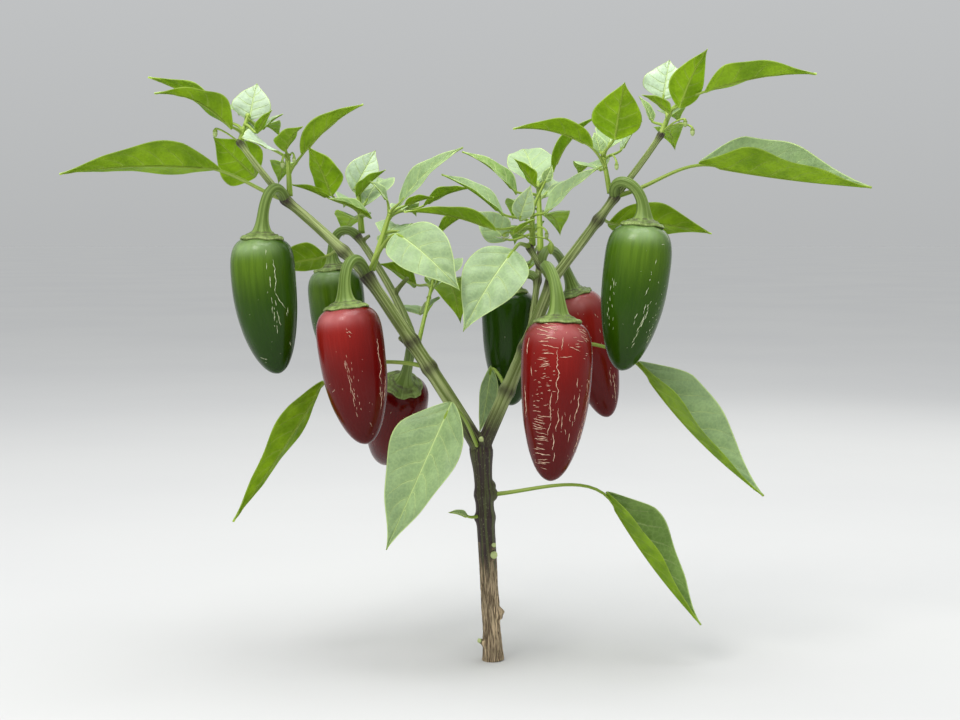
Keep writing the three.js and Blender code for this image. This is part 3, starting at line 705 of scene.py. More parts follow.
class Foliage:
    """Builds blades and their petioles into joined skins."""

    ACROSS = (0, 0.045, 0.11, 0.2, 0.31, 0.43, 0.56, 0.69, 0.81, 0.91, 0.97, 1)
    SMALL_ACROSS = (0, 0.06, 0.16, 0.3, 0.48, 0.66, 0.83, 0.95, 1)
    ROWS, SMALL_ROWS = 46, 26
    PETIOLE_COUNTS, SMALL_PETIOLE_COUNTS = (18, 18, 10), (12, 10, 8)

    def __init__(self) -> None:
        """Start with no leaves."""
        self.made = 0

    def add_blade(self, skin: Skin, shape: BladeShape) -> None:
        """Add a blade whose upper face and underside share their rim.

        Args:
            skin: mesh that gets it.
            shape: the blade's surface.
        """
        half, rows = (self.ACROSS, self.ROWS) if shape.large else (self.SMALL_ACROSS, self.SMALL_ROWS)
        half = floats(half)
        cross = np.concatenate([-half[:0:-1], half])
        wide = len(cross)
        shares = 0.5 - 0.5 * np.cos(math.pi * np.linspace(0.035, 0.965, rows))
        share, across = np.meshgrid(shares, cross, indexing="ij")
        upper = shape.surface(share, across)
        thick = shape.EDGE_THICKNESS + shape.length * shape.THICKNESS_SHARE * (1 - np.abs(across)) ** 2
        lower = upper - shape.frame_at(share)[3] * thick[..., None]
        ends = shape.midrib.at(np.array((0.0, 1.0)))
        upper_number = np.arange(rows * wide).reshape(rows, wide)
        lower_number = upper_number.copy()
        lower_number[:, 1:-1] = rows * wide + np.arange(rows * (wide - 2)).reshape(rows, -1)
        total = rows * (2 * wide - 2)
        places = np.vstack([upper.reshape(-1, 3), lower[:, 1:-1].reshape(-1, 3), ends])
        quads = grid_faces(rows, wide, False)
        start = skin.count
        skin.add(places, quads[:, [0, 3, 2, 1]], 0, **self.blade_notes(shape, share, across))
        skin.more(lower_number.ravel()[quads], start, 1)
        for end, pole in ((0, total), (-1, total + 1)):
            for look, number in enumerate((upper_number, lower_number)):
                ring = number[end] if (end == 0) == (look == 1) else number[end][::-1]
                skin.more(fan_faces(ring, pole)[:, ::-1], start, look)

    @staticmethod
    def blade_notes(shape: BladeShape, share: Array, across: Array) -> dict[str, Array]:
        """Return the values that the leaf finishes read at each vertex.

        Args:
            shape: the blade's surface.
            share: grid of places along the blade.
            across: grid of places across it.
        """
        off = across * shape.outline_at(share)
        grids = {
            "blade_place": (share, across, 0.0),
            "blade_veins": (shape.vein_phase(share, across), off, shape.length / shape.veins),
            "blade_cells": (share * shape.length, off, shape.tone * 90),
            # the leaf's painted sky reflection, and its own tone
            "blade_painted_reflection_and_tone": (shape.leaf.pale, shape.tone, 0.0),
        }
        notes = {}
        for key, values in grids.items():
            grid = columns(*values, share)[..., :3]
            ends = grid[[0, -1], grid.shape[1] // 2]
            notes[key] = np.vstack([grid.reshape(-1, 3), grid[:, 1:-1].reshape(-1, 3), ends])
        return notes

    def add_petiole(self, skin: Skin, shape: BladeShape, start: Array, radius: float) -> None:
        """Add a petiole that runs on under the blade as its midrib.

        Args:
            skin: mesh that gets it.
            shape: the blade's surface.
            start: where the petiole leaves its limb.
            radius: its radius.
        """
        rings, ribs, sides = self.PETIOLE_COUNTS if shape.large else self.SMALL_PETIOLE_COUNTS
        base = shape.midrib.at(0.1)
        petiole = petiole_curve(start, base, shape.midrib.along(0.05), shape.leaf.lead)
        shares = np.linspace(0, 1, rings)
        rib_shares = np.linspace(0.13, 0.94, ribs)
        point, _, _, out = shape.frame_at(rib_shares)
        rib_radii = radius * 0.6 * (1 - rib_shares) ** 0.8 + 0.1
        rib = point - out * (0.3 + 0.8 * rib_radii)[:, None]
        stem_radii = radius * (1.25 - 0.5 * shares) + radius * 0.6 * fade(shares, 0.05)
        add_tube(
            skin, np.vstack([petiole.point(shares), rib]), np.concatenate([stem_radii, rib_radii]),
            sides, tone=shape.tone, woody=np.concatenate([0.5 * shares**4, 0.6 + 0.4 * rib_shares]),
        )

    def add_leaf(self, blades: Skin, stalks: Skin, leaf: Leaf, start: Array, radius: float) -> None:
        """Add one leaf.

        Args:
            blades: mesh that gets the blade.
            stalks: mesh that gets the petiole.
            leaf: sizes of the leaf.
            start: where its petiole leaves.
            radius: radius of the petiole.
        """
        self.made += 1
        shape = BladeShape(leaf, self.made)
        self.add_blade(blades, shape)
        self.add_petiole(stalks, shape, start, radius)


# Filler leaves


class Room:
    """Balls that stand for limbs, fruit and leaves when room for a new leaf is sought."""

    ACROSS = (-1.0, -0.5, 0.0, 0.5, 1.0)
    BALL_STEP = 4.0
    LEAF_BALL = 1.5

    def __init__(self) -> None:
        """Fill the space of the limbs, the fruit and the named leaves."""
        self.centres: list[Array] = []
        self.radii: list[float] = []
        bars = [(limb_curve(name), limb.radii[0]) for name, limb in LIMBS.items()]
        bars += [(bowed(item.cap, item.tip, item.bow), item.radius) for item in PEPPERS.values()]
        bars += [(bowed(mass.start, mass.top), mass.radius) for mass in FOLIAGE.values()]
        for curve, radius in bars:
            count = math.ceil(curve.length / self.BALL_STEP)
            self.block(curve.point(np.arange(count + 1) / count), radius)
        for leaves in (SINGLE_LEAVES.values(), *(mass.leaves for mass in FOLIAGE.values())):
            for leaf in leaves:
                self.block(self.blade_points(leaf), self.LEAF_BALL)

    def block(self, points: Array, radius: float) -> None:
        """Fill the space round points with balls."""
        self.centres.extend(points)
        self.radii.extend([radius] * len(points))

    def blade_points(self, leaf: Leaf) -> Array:
        """Return points spread over a blade.

        Args:
            leaf: sizes of the leaf.
        """
        shape = BladeShape(leaf, 1)
        shares = np.arange(7) / 6
        point, _, side, _ = shape.frame_at(shares)
        reach = leaf.half * shape.width_at(np.minimum(shares, 0.98))
        return np.concatenate([point + side * (across * reach)[:, None] for across in self.ACROSS])

    def fits(self, leaf: Leaf, middle: Array, reach: Array) -> bool:
        """Return whether a leaf lies within its mass and clear of all else.

        Args:
            leaf: the new leaf.
            middle: middle of the mass.
            reach: radii of the mass.
        """
        points = self.blade_points(leaf)
        if np.any(np.linalg.norm((points - middle) / reach, axis=1) >= 1):
            return False
        apart = np.linalg.norm(points[:, None] - np.array(self.centres)[None], axis=2)
        return bool(np.all(apart > np.array(self.radii) + FILLER_CLEARANCE))

    def grow_filler(self, shoot: Bezier, filler: Filler) -> list[Leaf]:
        """Grow leaves in a spiral up a shoot, turned to the back, where there is room.

        Args:
            shoot: the mass's shoot.
            filler: sizes of the rule.

        Returns:
            The leaves that were kept.
        """
        random = Seeded(filler.seed)
        middle = shoot.point(0.6)
        grown: list[Leaf] = []
        for i in range(filler.count * FILLER_TRIES):
            if len(grown) == filler.count:
                break
            at = 0.25 + 0.7 * random.next()
            heading = math.pi / 2 + FILLER_SPREAD * ((i * GOLDEN_TURN) % 2 - 1)
            rise = -0.15 + 0.75 * random.next()
            out = unit(np.array((math.cos(heading), math.sin(heading), rise)))
            length = filler.blade * (0.75 + 0.4 * random.next())
            base = shoot.point(at) + out * (7 + 9 * random.next())
            tip = base + out * length
            tip[2] -= 0.15 * length
            face = (0.4 * random.next() - 0.2, 0.4 * random.next() - 0.2, 1.0)
            leaf = Leaf(at, tuple(base), tuple(tip), 0.23 * length, face, 0.1 * length, 16)
            if self.fits(leaf, middle, floats(filler.reach)):
                self.block(self.blade_points(leaf), self.LEAF_BALL)
                grown.append(leaf)
        return grown


# Node drawing


class Graph:
    """A node tree being drawn, with short ways to add nodes and link them."""

    def __init__(self, tree: bpy.types.NodeTree) -> None:
        """Keep the tree."""
        self.tree = tree

    def node(self, kind: str, **settings: object) -> bpy.types.Node:
        """Add a node.

        Args:
            kind: its type name, without the leading ShaderNode.
            settings: properties to set.

        Returns:
            The new node.
        """
        made = self.tree.nodes.new("ShaderNode" + kind)
        for key, value in settings.items():
            setattr(made, key, value)
        return made

    def feed(self, socket: Socket, value: object) -> None:
        """Link a socket to another, or set its value.

        Args:
            socket: input to feed.
            value: another node's output, a number, a vector or a colour of three parts.
        """
        if isinstance(value, Socket):
            self.tree.links.new(value, socket)
        elif hasattr(socket.default_value, "__len__") and len(socket.default_value) == 4:
            socket.default_value = (*value, 1.0)
        else:
            socket.default_value = value

    def fill(self, node: bpy.types.Node, **values: object) -> bpy.types.Node:
        """Feed inputs of a node and return it.

        Args:
            node: the node.
            values: input values, with underscores for the spaces in their names.

        Returns:
            The same node.
        """
        for key, value in values.items():
            self.feed(node.inputs[key.replace("_", " ")], value)
        return node

    def maths(self, operation: str, *values: object, kind: str = "Math") -> Socket:
        """Return the result of a math node.

        Args:
            operation: what it does.
            values: its inputs in order.
            kind: its type name, which may be VectorMath.
        """
        made = self.node(kind, operation=operation)
        for socket, value in zip(made.inputs, values):
            self.feed(socket, value)
        return made.outputs[0]

    def times(self, first: object, second: object) -> Socket:
        """Return the product of two values."""
        return self.maths("MULTIPLY", first, second)

    def plus(self, first: object, second: object) -> Socket:
        """Return the sum of two values."""
        return self.maths("ADD", first, second)

    def less(self, first: object, second: object) -> Socket:
        """Return the first value less the second."""
        return self.maths("SUBTRACT", first, second)

    def size(self, value: object) -> Socket:
        """Return a value without its sign."""
        return self.maths("ABSOLUTE", value)

    def larger(self, first: object, second: object) -> Socket:
        """Return the larger of two values."""
        return self.maths("MAXIMUM", first, second)

    def spread(
        self, value: object, low: object, high: object, to_low: float = 0.0, to_high: float = 1.0
    ) -> Socket:
        """Return a value moved smoothly from one range to another, and held at its ends.

        Args:
            value: the value.
            low: where the range starts.
            high: where it ends.
            to_low: result at the start.
            to_high: result at the end.
        """
        made = self.node("MapRange", interpolation_type="SMOOTHSTEP", clamp=True)
        self.fill(made, Value=value, From_Min=low, From_Max=high, To_Min=to_low, To_Max=to_high)
        return made.outputs["Result"]

    def between(self, value: object, low: float, high: float) -> Socket:
        """Return low where a value is 0 and high where it is 1."""
        return self.spread(value, 0.0, 1.0, low, high)

    def mix(self, share: object, first: object, second: object) -> Socket:
        """Return a colour between two.

        Args:
            share: 0 for the first, 1 for the second.
            first: a colour.
            second: a colour.
        """
        made = self.node("Mix", data_type="RGBA")
        for number, value in ((0, share), (6, first), (7, second)):
            self.feed(made.inputs[number], value)
        return made.outputs[2]

    def shade(self, colour: object, by: object) -> Socket:
        """Return a colour made lighter or darker by a factor."""
        made = self.node("VectorMath", operation="SCALE")
        return self.fill(made, Vector=colour, Scale=by).outputs[0]

    def stretch(self, place: object, by: object) -> Socket:
        """Return a place with each part multiplied by its own factor."""
        return self.maths("MULTIPLY", place, by, kind="VectorMath")

    def noise(
        self, place: object, scale: object, detail: float = 2.0, rough: float = 0.5
    ) -> Socket:
        """Return soft noise from 0 to 1.

        Args:
            place: where it is read.
            scale: one factor, or a vector with one for each axis.
            detail: how many finer layers it has.
            rough: how strong these are.
        """
        if not isinstance(scale, float):
            place, scale = self.stretch(place, scale), 1.0
        made = self.node("TexNoise")
        self.fill(made, Vector=place, Scale=scale, Detail=detail, Roughness=rough)
        return made.outputs["Fac"]

    def cell_edges(self, place: object) -> Socket:
        """Return the distance to the nearest edge between irregular cells."""
        made = self.node("TexVoronoi", feature="DISTANCE_TO_EDGE")
        return self.fill(made, Vector=place, Scale=1.0).outputs["Distance"]

    def bump(self, height: object, depth: float) -> Socket:
        """Return normals raised by a height, of which 1 stands up by a depth in metres."""
        made = self.fill(self.node("Bump"), Strength=1.0, Distance=depth, Height=height)
        return made.outputs["Normal"]

    def parts(self, place: object) -> Sequence[Socket]:
        """Return the three parts of a vector."""
        return tuple(self.fill(self.node("SeparateXYZ"), Vector=place).outputs)

    def note(self, name: str) -> Socket:
        """Return the vector kept at each vertex under a name."""
        return self.node("Attribute", attribute_name=name).outputs["Vector"]

    def effect(self, name: str, **values: object) -> bpy.types.NodeOutputs:
        """Return the values of an effect group that is given its own inputs."""
        return self.fill(self.node("Group", node_tree=bpy.data.node_groups[name]), **values).outputs


Entry = dict[str, Socket]
Inputs = dict[str, object]
VEIN_WIDTH = 0.36


def draw_veins(graph: Graph, entry: Entry) -> Sequence[Socket]:
    """Draw a leaf's midrib, side veins, fine net and margin.

    Args:
        graph: tree of the group.
        entry: its inputs.

    Returns:
        Vein, halo round it, net, margin and height.
    """
    share, across, _ = graph.parts(entry["Place"])
    phase, off, gap = graph.parts(entry["Veins"])
    size = graph.size(across)
    far = graph.size(off)
    stray = graph.less(graph.noise(entry["Cells"], 0.16), 0.5)
    phase = graph.plus(phase, graph.times(stray, 0.22))
    nearest = graph.less(phase, graph.maths("ROUND", phase))
    apart = graph.times(graph.size(nearest), gap)
    wide = graph.times(VEIN_WIDTH, graph.less(1.15, size))
    outer = graph.spread(size, 0.99, 0.75)
    side = graph.times(graph.spread(apart, wide, graph.times(wide, 0.25)), outer)
    rib_wide = graph.times(VEIN_WIDTH, graph.less(1.75, graph.times(share, 1.3)))
    rib = graph.spread(far, rib_wide, graph.times(rib_wide, 0.4))
    vein = graph.larger(rib, graph.times(side, 0.75))
    side_halo = graph.times(graph.spread(apart, graph.times(wide, 5.0), 0.0), outer)
    rib_halo = graph.spread(far, graph.times(rib_wide, 3.5), 0.0)
    halo = graph.larger(rib_halo, graph.times(side_halo, 0.7))
    edge = graph.cell_edges(graph.stretch(entry["Cells"], (0.38, 0.38, 1.0)))
    net = graph.spread(edge, 0.14, 0.02)
    reach = graph.maths("DIVIDE", far, graph.larger(size, 0.05))
    margin = graph.spread(graph.less(reach, far), 0.75, 0.2)
    pucker = graph.times(graph.noise(entry["Cells"], 0.28), 1.3)
    height = graph.less(graph.plus(vein, graph.times(net, 0.07)), pucker)
    return vein, halo, net, margin, height


def draw_mottle(graph: Graph, entry: Entry) -> Sequence[Socket]:
    """Draw soft uneven tone at two scales.

    Args:
        graph: tree of the group.
        entry: its inputs.

    Returns:
        Broad tone and fine grain.
    """
    layers = (("Broad", 2.0), ("Fine", 3.0))
    return [
        graph.spread(graph.noise(entry["Place"], entry[scale], detail), 0.3, 0.7)
        for scale, detail in layers
    ]


def draw_grain(graph: Graph, entry: Entry) -> Sequence[Socket]:
    """Draw stripes and fissures that run lengthwise on a stem.

    Args:
        graph: tree of the group.
        entry: its inputs.

    Returns:
        Stripe, fissure and fleck.
    """
    layers = (
        ((3.2, 3.2, 0.025), 2.0, 0.5, 0.42, 0.62),
        ((11.0, 11.0, 0.14), 4.0, 0.6, 0.38, 0.6),
        ((9.0, 9.0, 0.9), 2.0, 0.5, 0.62, 0.72),
    )
    return [
        graph.spread(graph.noise(entry["Grain"], scale, detail, rough), low, high)
        for scale, detail, rough, low, high in layers
    ]


# Each effect group has the vectors that it reads, the values that it gives and its drawing.
EFFECTS = {
    "leaf_veins": (
        ("Place", "Veins", "Cells"), ("Vein", "Halo", "Net", "Margin", "Height"), draw_veins,
    ),
    "soft_mottle": (("Place", "Broad", "Fine"), ("Broad Tone", "Fine Tone"), draw_mottle),
    "stem_grain": (("Grain",), ("Stripe", "Fissure", "Fleck"), draw_grain),
}


def make_effects() -> None:
    """Make the shader node groups that several finishes use."""
    for name, (inputs, outputs, draw) in EFFECTS.items():
        tree = bpy.data.node_groups.new(name, "ShaderNodeTree")
        for key in inputs:
            tree.interface.new_socket(name=key, in_out="INPUT", socket_type="NodeSocketVector")
        for key in outputs:
            tree.interface.new_socket(name=key, in_out="OUTPUT", socket_type="NodeSocketFloat")
        entry = tree.nodes.new("NodeGroupInput")
        leave = tree.nodes.new("NodeGroupOutput")
        graph = Graph(tree)
        results = draw(graph, {key: entry.outputs[key] for key in inputs})
        for key, value in zip(outputs, results):
            graph.feed(leave.inputs[key], value)


# Finishes


@dataclass(frozen=True)
class Finish:
    """What all finishes have: a name, and nodes that feed the shader."""

    name: str

    def draw(self, graph: Graph) -> Inputs:
        """Draw the nodes and return the shader's inputs by name."""
        raise NotImplementedError

    def make(self) -> Material:
        """Make the material.

        Returns:
            The new material.
        """
        material = bpy.data.materials.new(self.name)
        material.use_nodes = True
        graph = Graph(material.node_tree)
        shader = material.node_tree.nodes["Principled BSDF"]
        graph.fill(shader, **self.draw(graph))
        return material


@dataclass(frozen=True)
class LeafFinish(Finish):
    """One face of a leaf: its greens, its veins and how they lie."""

    deep: Colour
    fresh: Colour
    # pale is the colour of a painted reflection of the sky, put on by each leaf's amount and this
    # face's share
    pale: Colour
    vein: Colour
    painted_reflection_share: float
    vein_share: float
    rough: float
    relief: float
    gloss: float

    LINES = (("Net", 0.1), ("Halo", 0.3), ("Margin", 1.0), ("Vein", 1.0))

    def draw(self, graph: Graph) -> Inputs:
        """Draw mottled green paled by painted sky reflection, with pale lines over it, and raise veins.

        Args:
            graph: the material's graph.

        Returns:
            The shader's inputs by name.
        """
        cells = graph.note("blade_cells")
        place, sides = graph.note("blade_place"), graph.note("blade_veins")
        veins = graph.effect("leaf_veins", Place=place, Veins=sides, Cells=cells)
        broad, fine = graph.effect(
            "soft_mottle", Place=cells, Broad=(0.09, 0.09, 1.0), Fine=(0.9, 0.9, 1.0)
        )
        paleness, tone, _ = graph.parts(graph.note("blade_painted_reflection_and_tone"))
        body = graph.mix(broad, self.deep, self.fresh)
        # painted reflection of the sky, as much as each leaf asks for
        body = graph.mix(graph.times(paleness, self.painted_reflection_share), body, self.pale)
        for value, low, high in ((tone, 0.88, 1.12), (broad, 0.92, 1.04), (fine, 0.93, 1.06)):
            body = graph.shade(body, graph.between(value, low, high))
        for part, share in self.LINES:
            lines = graph.times(veins[part], share * self.vein_share)
            body = graph.mix(lines, body, self.vein)
        return {
            "Base_Color": body,
            "Roughness": graph.between(fine, self.rough - 0.05, self.rough + 0.07),
            "Specular_IOR_Level": self.gloss,
            "Normal": graph.bump(veins["Height"], self.relief),
        }


@dataclass(frozen=True)
class PepperFinish(Finish):
    """A glossy pepper skin with faint lengthwise streaks, painted shade and painted shoulder light."""

    deep: Colour
    body: Colour
    # colour of painted light on the lit side of the shoulder
    painted_light: Colour
    # colour of a painted sheen: a reflection painted on the shoulder
    painted_sheen: Colour
    streaks: float

    def draw(self, graph: Graph) -> Inputs:
        """Draw the skin from painted shade to painted shoulder light, with pits under a clear coat.

        Args:
            graph: the material's graph.

        Returns:
            The shader's inputs by name.
        """
        place = graph.note("skin_place")
        # painted lit shoulder, painted shade and painted sheen, kept at each vertex
        painted_light, dark, painted_sheen = graph.parts(graph.note("skin_painted_light"))
        broad, streak = graph.effect(
            "soft_mottle", Place=place, Broad=(0.16, 0.16, 0.018), Fine=(0.55, 0.55, 0.03)
        )
        body = graph.mix(graph.times(broad, 0.5 * self.streaks), self.body, self.deep)
        # painted shade
        body = graph.mix(dark, body, self.deep)
        lit = graph.between(streak, 1 - 0.5 * self.streaks, 1.0)
        # painted light on the shoulder, broken by the streaks
        body = graph.mix(graph.times(painted_light, lit), body, self.painted_light)
        body = graph.shade(body, graph.between(streak, 1 - 0.1 * self.streaks, 1.0))
        # painted sheen on the shoulder
        painted_sheen_amount = graph.times(painted_sheen, graph.between(broad, 0.75, 1.0))
        return {
            "Base_Color": graph.mix(painted_sheen_amount, body, self.painted_sheen),
            "Roughness": graph.between(streak, 0.24, 0.28),
            "Coat_Weight": 0.32,
            "Coat_Roughness": 0.17,
            "Specular_IOR_Level": 0.05,
            "Subsurface_Weight": 0.06,
            "Subsurface_Radius": (0.002, 0.001, 0.0005),
            "Normal": graph.bump(graph.noise(place, (1.6, 1.6, 1.6)), 0.00008),
        }


@dataclass(frozen=True)
class StemFinish(Finish):
    """A stem's skin: green with pale stripes, purple at its nodes, corky at the foot."""

    green: Colour
    pale: Colour
    purple: Colour
    cork: Colour
    crack: Colour
    rough: float = 0.5
    relief: float = 0.0005

    def draw(self, graph: Graph) -> Inputs:
        """Draw the green skin, the dark nodes and the bark, and raise their grain.

        Args:
            graph: the material's graph.

        Returns:
            The shader's inputs by name.
        """
        stripe, fissure, fleck = graph.effect("stem_grain", Grain=graph.note("grain"))
        woody, node, tone = graph.parts(graph.note("stem_tone"))
        green = graph.mix(graph.times(stripe, 0.75), self.green, self.pale)
        green = graph.shade(green, graph.between(tone, 0.88, 1.12))
        dark = graph.mix(graph.times(stripe, 0.34), self.purple, self.green)
        skin = graph.mix(node, green, dark)
        bark = graph.mix(fissure, self.crack, self.cork)
        body = graph.mix(woody, skin, bark)
        body = graph.mix(graph.times(fleck, 0.3), body, self.pale)
        height = graph.plus(graph.times(stripe, 0.3), graph.times(fissure, graph.plus(woody, 0.1)))
        return {
            "Base_Color": graph.mix(graph.spread(tone, 1.2, 1.9), body, self.pale),
            "Roughness": graph.between(woody, self.rough, 0.85),
            "Specular_IOR_Level": 0.3,
            "Normal": graph.bump(height, self.relief),
        }


@dataclass(frozen=True)
class PlainFinish(Finish):
    """A soft finish with a little mottle, for cork, petals, buds and the floor."""

    body: Colour
    shade: Colour
    rough: float
    scale: float

    def draw(self, graph: Graph) -> Inputs:
        """Draw soft mottle between two tones.

        Args:
            graph: the material's graph.

        Returns:
            The shader's inputs by name.
        """
        place = graph.node("TexCoord").outputs["Object"]
        broad, fine = graph.effect(
            "soft_mottle", Place=place, Broad=(self.scale,) * 3, Fine=(self.scale * 9,) * 3
        )
        return {
            "Base_Color": graph.mix(broad, self.body, self.shade),
            "Roughness": graph.between(fine, self.rough - 0.04, self.rough + 0.04),
        }


# Modelling by hand


def select_only(*pieces: Thing) -> None:
    """Select some objects and make the first active.

    Args:
        pieces: the objects.
    """
    bpy.ops.object.select_all(action="DESELECT")
    for piece in pieces:
        piece.select_set(True)
    bpy.context.view_layer.objects.active = pieces[0]


def apply_modifier(piece: Thing, kind: str, **settings: object) -> None:
    """Add a modifier and apply it.

    Args:
        piece: object that gets it.
        kind: modifier type.
        settings: its properties.
    """
    select_only(piece)
    made = piece.modifiers.new(kind.title(), kind)
    for key, value in settings.items():
        setattr(made, key, value)
    bpy.ops.object.modifier_apply(modifier=made.name)


def open_form(name: str) -> Thing:
    """Name the form just added, apply its place and select all of it for editing.

    Args:
        name: name of the object.

    Returns:
        The object, in edit mode.
    """
    piece = bpy.context.active_object
    piece.name = name
    bpy.ops.object.transform_apply(location=True, rotation=False, scale=False)
    bpy.ops.object.mode_set(mode="EDIT")
    bpy.ops.mesh.select_all(action="SELECT")
    return piece


def model_rings(name: str, sides: int, rings: Sequence[tuple[float, float]]) -> Thing:
    """Model a round closed form from a circle that is extruded ring by ring.

    Args:
        name: name of the object.
        sides: vertices round each ring.
        rings: height and radius of each ring, from the first.

    Returns:
        The object, at its own scale.
    """
    height, radius = rings[0]
    bpy.ops.mesh.primitive_circle_add(
        vertices=sides, radius=radius, fill_type="NGON", location=(0, 0, height)
    )
    piece = open_form(name)
    for next_height, next_radius in rings[1:]:
        lift = (0, 0, next_height - height)
        bpy.ops.mesh.extrude_region_move(TRANSFORM_OT_translate={"value": lift})
        factor = next_radius / radius
        bpy.ops.transform.resize(value=(factor, factor, 1), center_override=(0, 0, next_height))
        height, radius = next_height, next_radius
    bpy.ops.mesh.select_all(action="SELECT")
    bpy.ops.mesh.normals_make_consistent(inside=False)
    bpy.ops.object.mode_set(mode="OBJECT")
    return piece


def read_vectors(piece: Thing, key: str = "co") -> Array:
    """Return the place of each vertex of an object, or another vector of it.

    Args:
        piece: the object.
        key: co for places, normal for directions.
    """
    values = np.empty(len(piece.data.vertices) * 3)
    piece.data.vertices.foreach_get(key, values)
    return values.reshape(-1, 3)


def move_vertices(piece: Thing, places: Array) -> Thing:
    """Set an object's vertices.

    Args:
        piece: the object.
        places: new places, in millimetres.

    Returns:
        The same object.
    """
    piece.data.vertices.foreach_set("co", (places * MM).ravel())
    piece.data.update()
    return piece


def bent_copy(piece: Thing, places: Array) -> Thing:
    """Return a copy of an object with its own mesh, moved to new places.

    Args:
        piece: the straight form.
        places: new places of its vertices, in millimetres.

    Returns:
        The copy.
    """
    made = piece.copy()
    made.data = piece.data.copy()
    bpy.context.scene.collection.objects.link(made)
    return move_vertices(made, places)


def join_copies(template: Thing, pieces: Sequence[Thing], name: str) -> Thing:
    """Remove the form that was copied, and join the copies into one named piece.

    Args:
        template: the form.
        pieces: its copies and what goes with them.
        name: name of the piece.

    Returns:
        The joined piece.
    """
    bpy.data.objects.remove(template)
    select_only(*pieces)
    bpy.ops.object.join()
    joined = pieces[0]
    joined.name = joined.data.name = name
    return joined


def dress(piece: Thing, finish: Material) -> Thing:
    """Give a piece its finish and smooth shading.

    Args:
        piece: the piece.
        finish: its only material.

    Returns:
        The same piece.
    """
    piece.data.materials.clear()
    piece.data.materials.append(finish)
    piece.data.shade_smooth()
    return piece


def noise_at(places: Array, stretch: Point = (1.0, 1.0, 1.0), shift: float = 0.0) -> Array:
    """Return soft noise from -1 to 1 at rows of points, stretched and shifted."""
    return np.array([noise.noise(Vector(place)) for place in places * stretch + shift])


def columns(*values: Array | float) -> Array:
    """Return values side by side, as rows of vectors."""
    return np.stack(np.broadcast_arrays(*values), axis=-1)


class Line:
    """A curve sampled with carried frames, for bending forms along it."""

    STEPS = 120

    def __init__(self, curve: Bezier, first: Array = FRONT) -> None:
        """Sample the curve.

        Args:
            curve: middle line.
            first: rough cross direction at its start.
        """
        self.length = curve.length
        self.shares = np.linspace(0, 1, self.STEPS + 1)
        self.places = curve.point(self.shares)
        self.along, self.across, self.square = carried_frames(self.places, first)

    def read(self, rows: Array, share: Array) -> Array:
        """Return rows of vectors between the samples."""
        return np.stack([np.interp(share, self.shares, rows[:, k]) for k in range(3)], axis=1)

    def bend(self, share: Array, x: Array, y: Array, beyond: Array | float = 0.0) -> Array:
        """Return points set off the line.

        Args:
            share: place along the line.
            x: distance across.
            y: distance square to that.
            beyond: distance past that place, along the line.
        """
        places = self.read(self.places, share)
        for rows, off in ((self.along, beyond), (self.across, x), (self.square, y)):
            places = places + self.read(rows, share) * np.broadcast_to(off, len(share))[:, None]
        return places


# Stem and boughs


@dataclass(frozen=True)
class Scar:
    """The stub of a cut petiole, from inside the stem to its cut face, with a pale ring or none."""

    start: Point
    end: Point
    radius: float
    paleness: float = 0.0


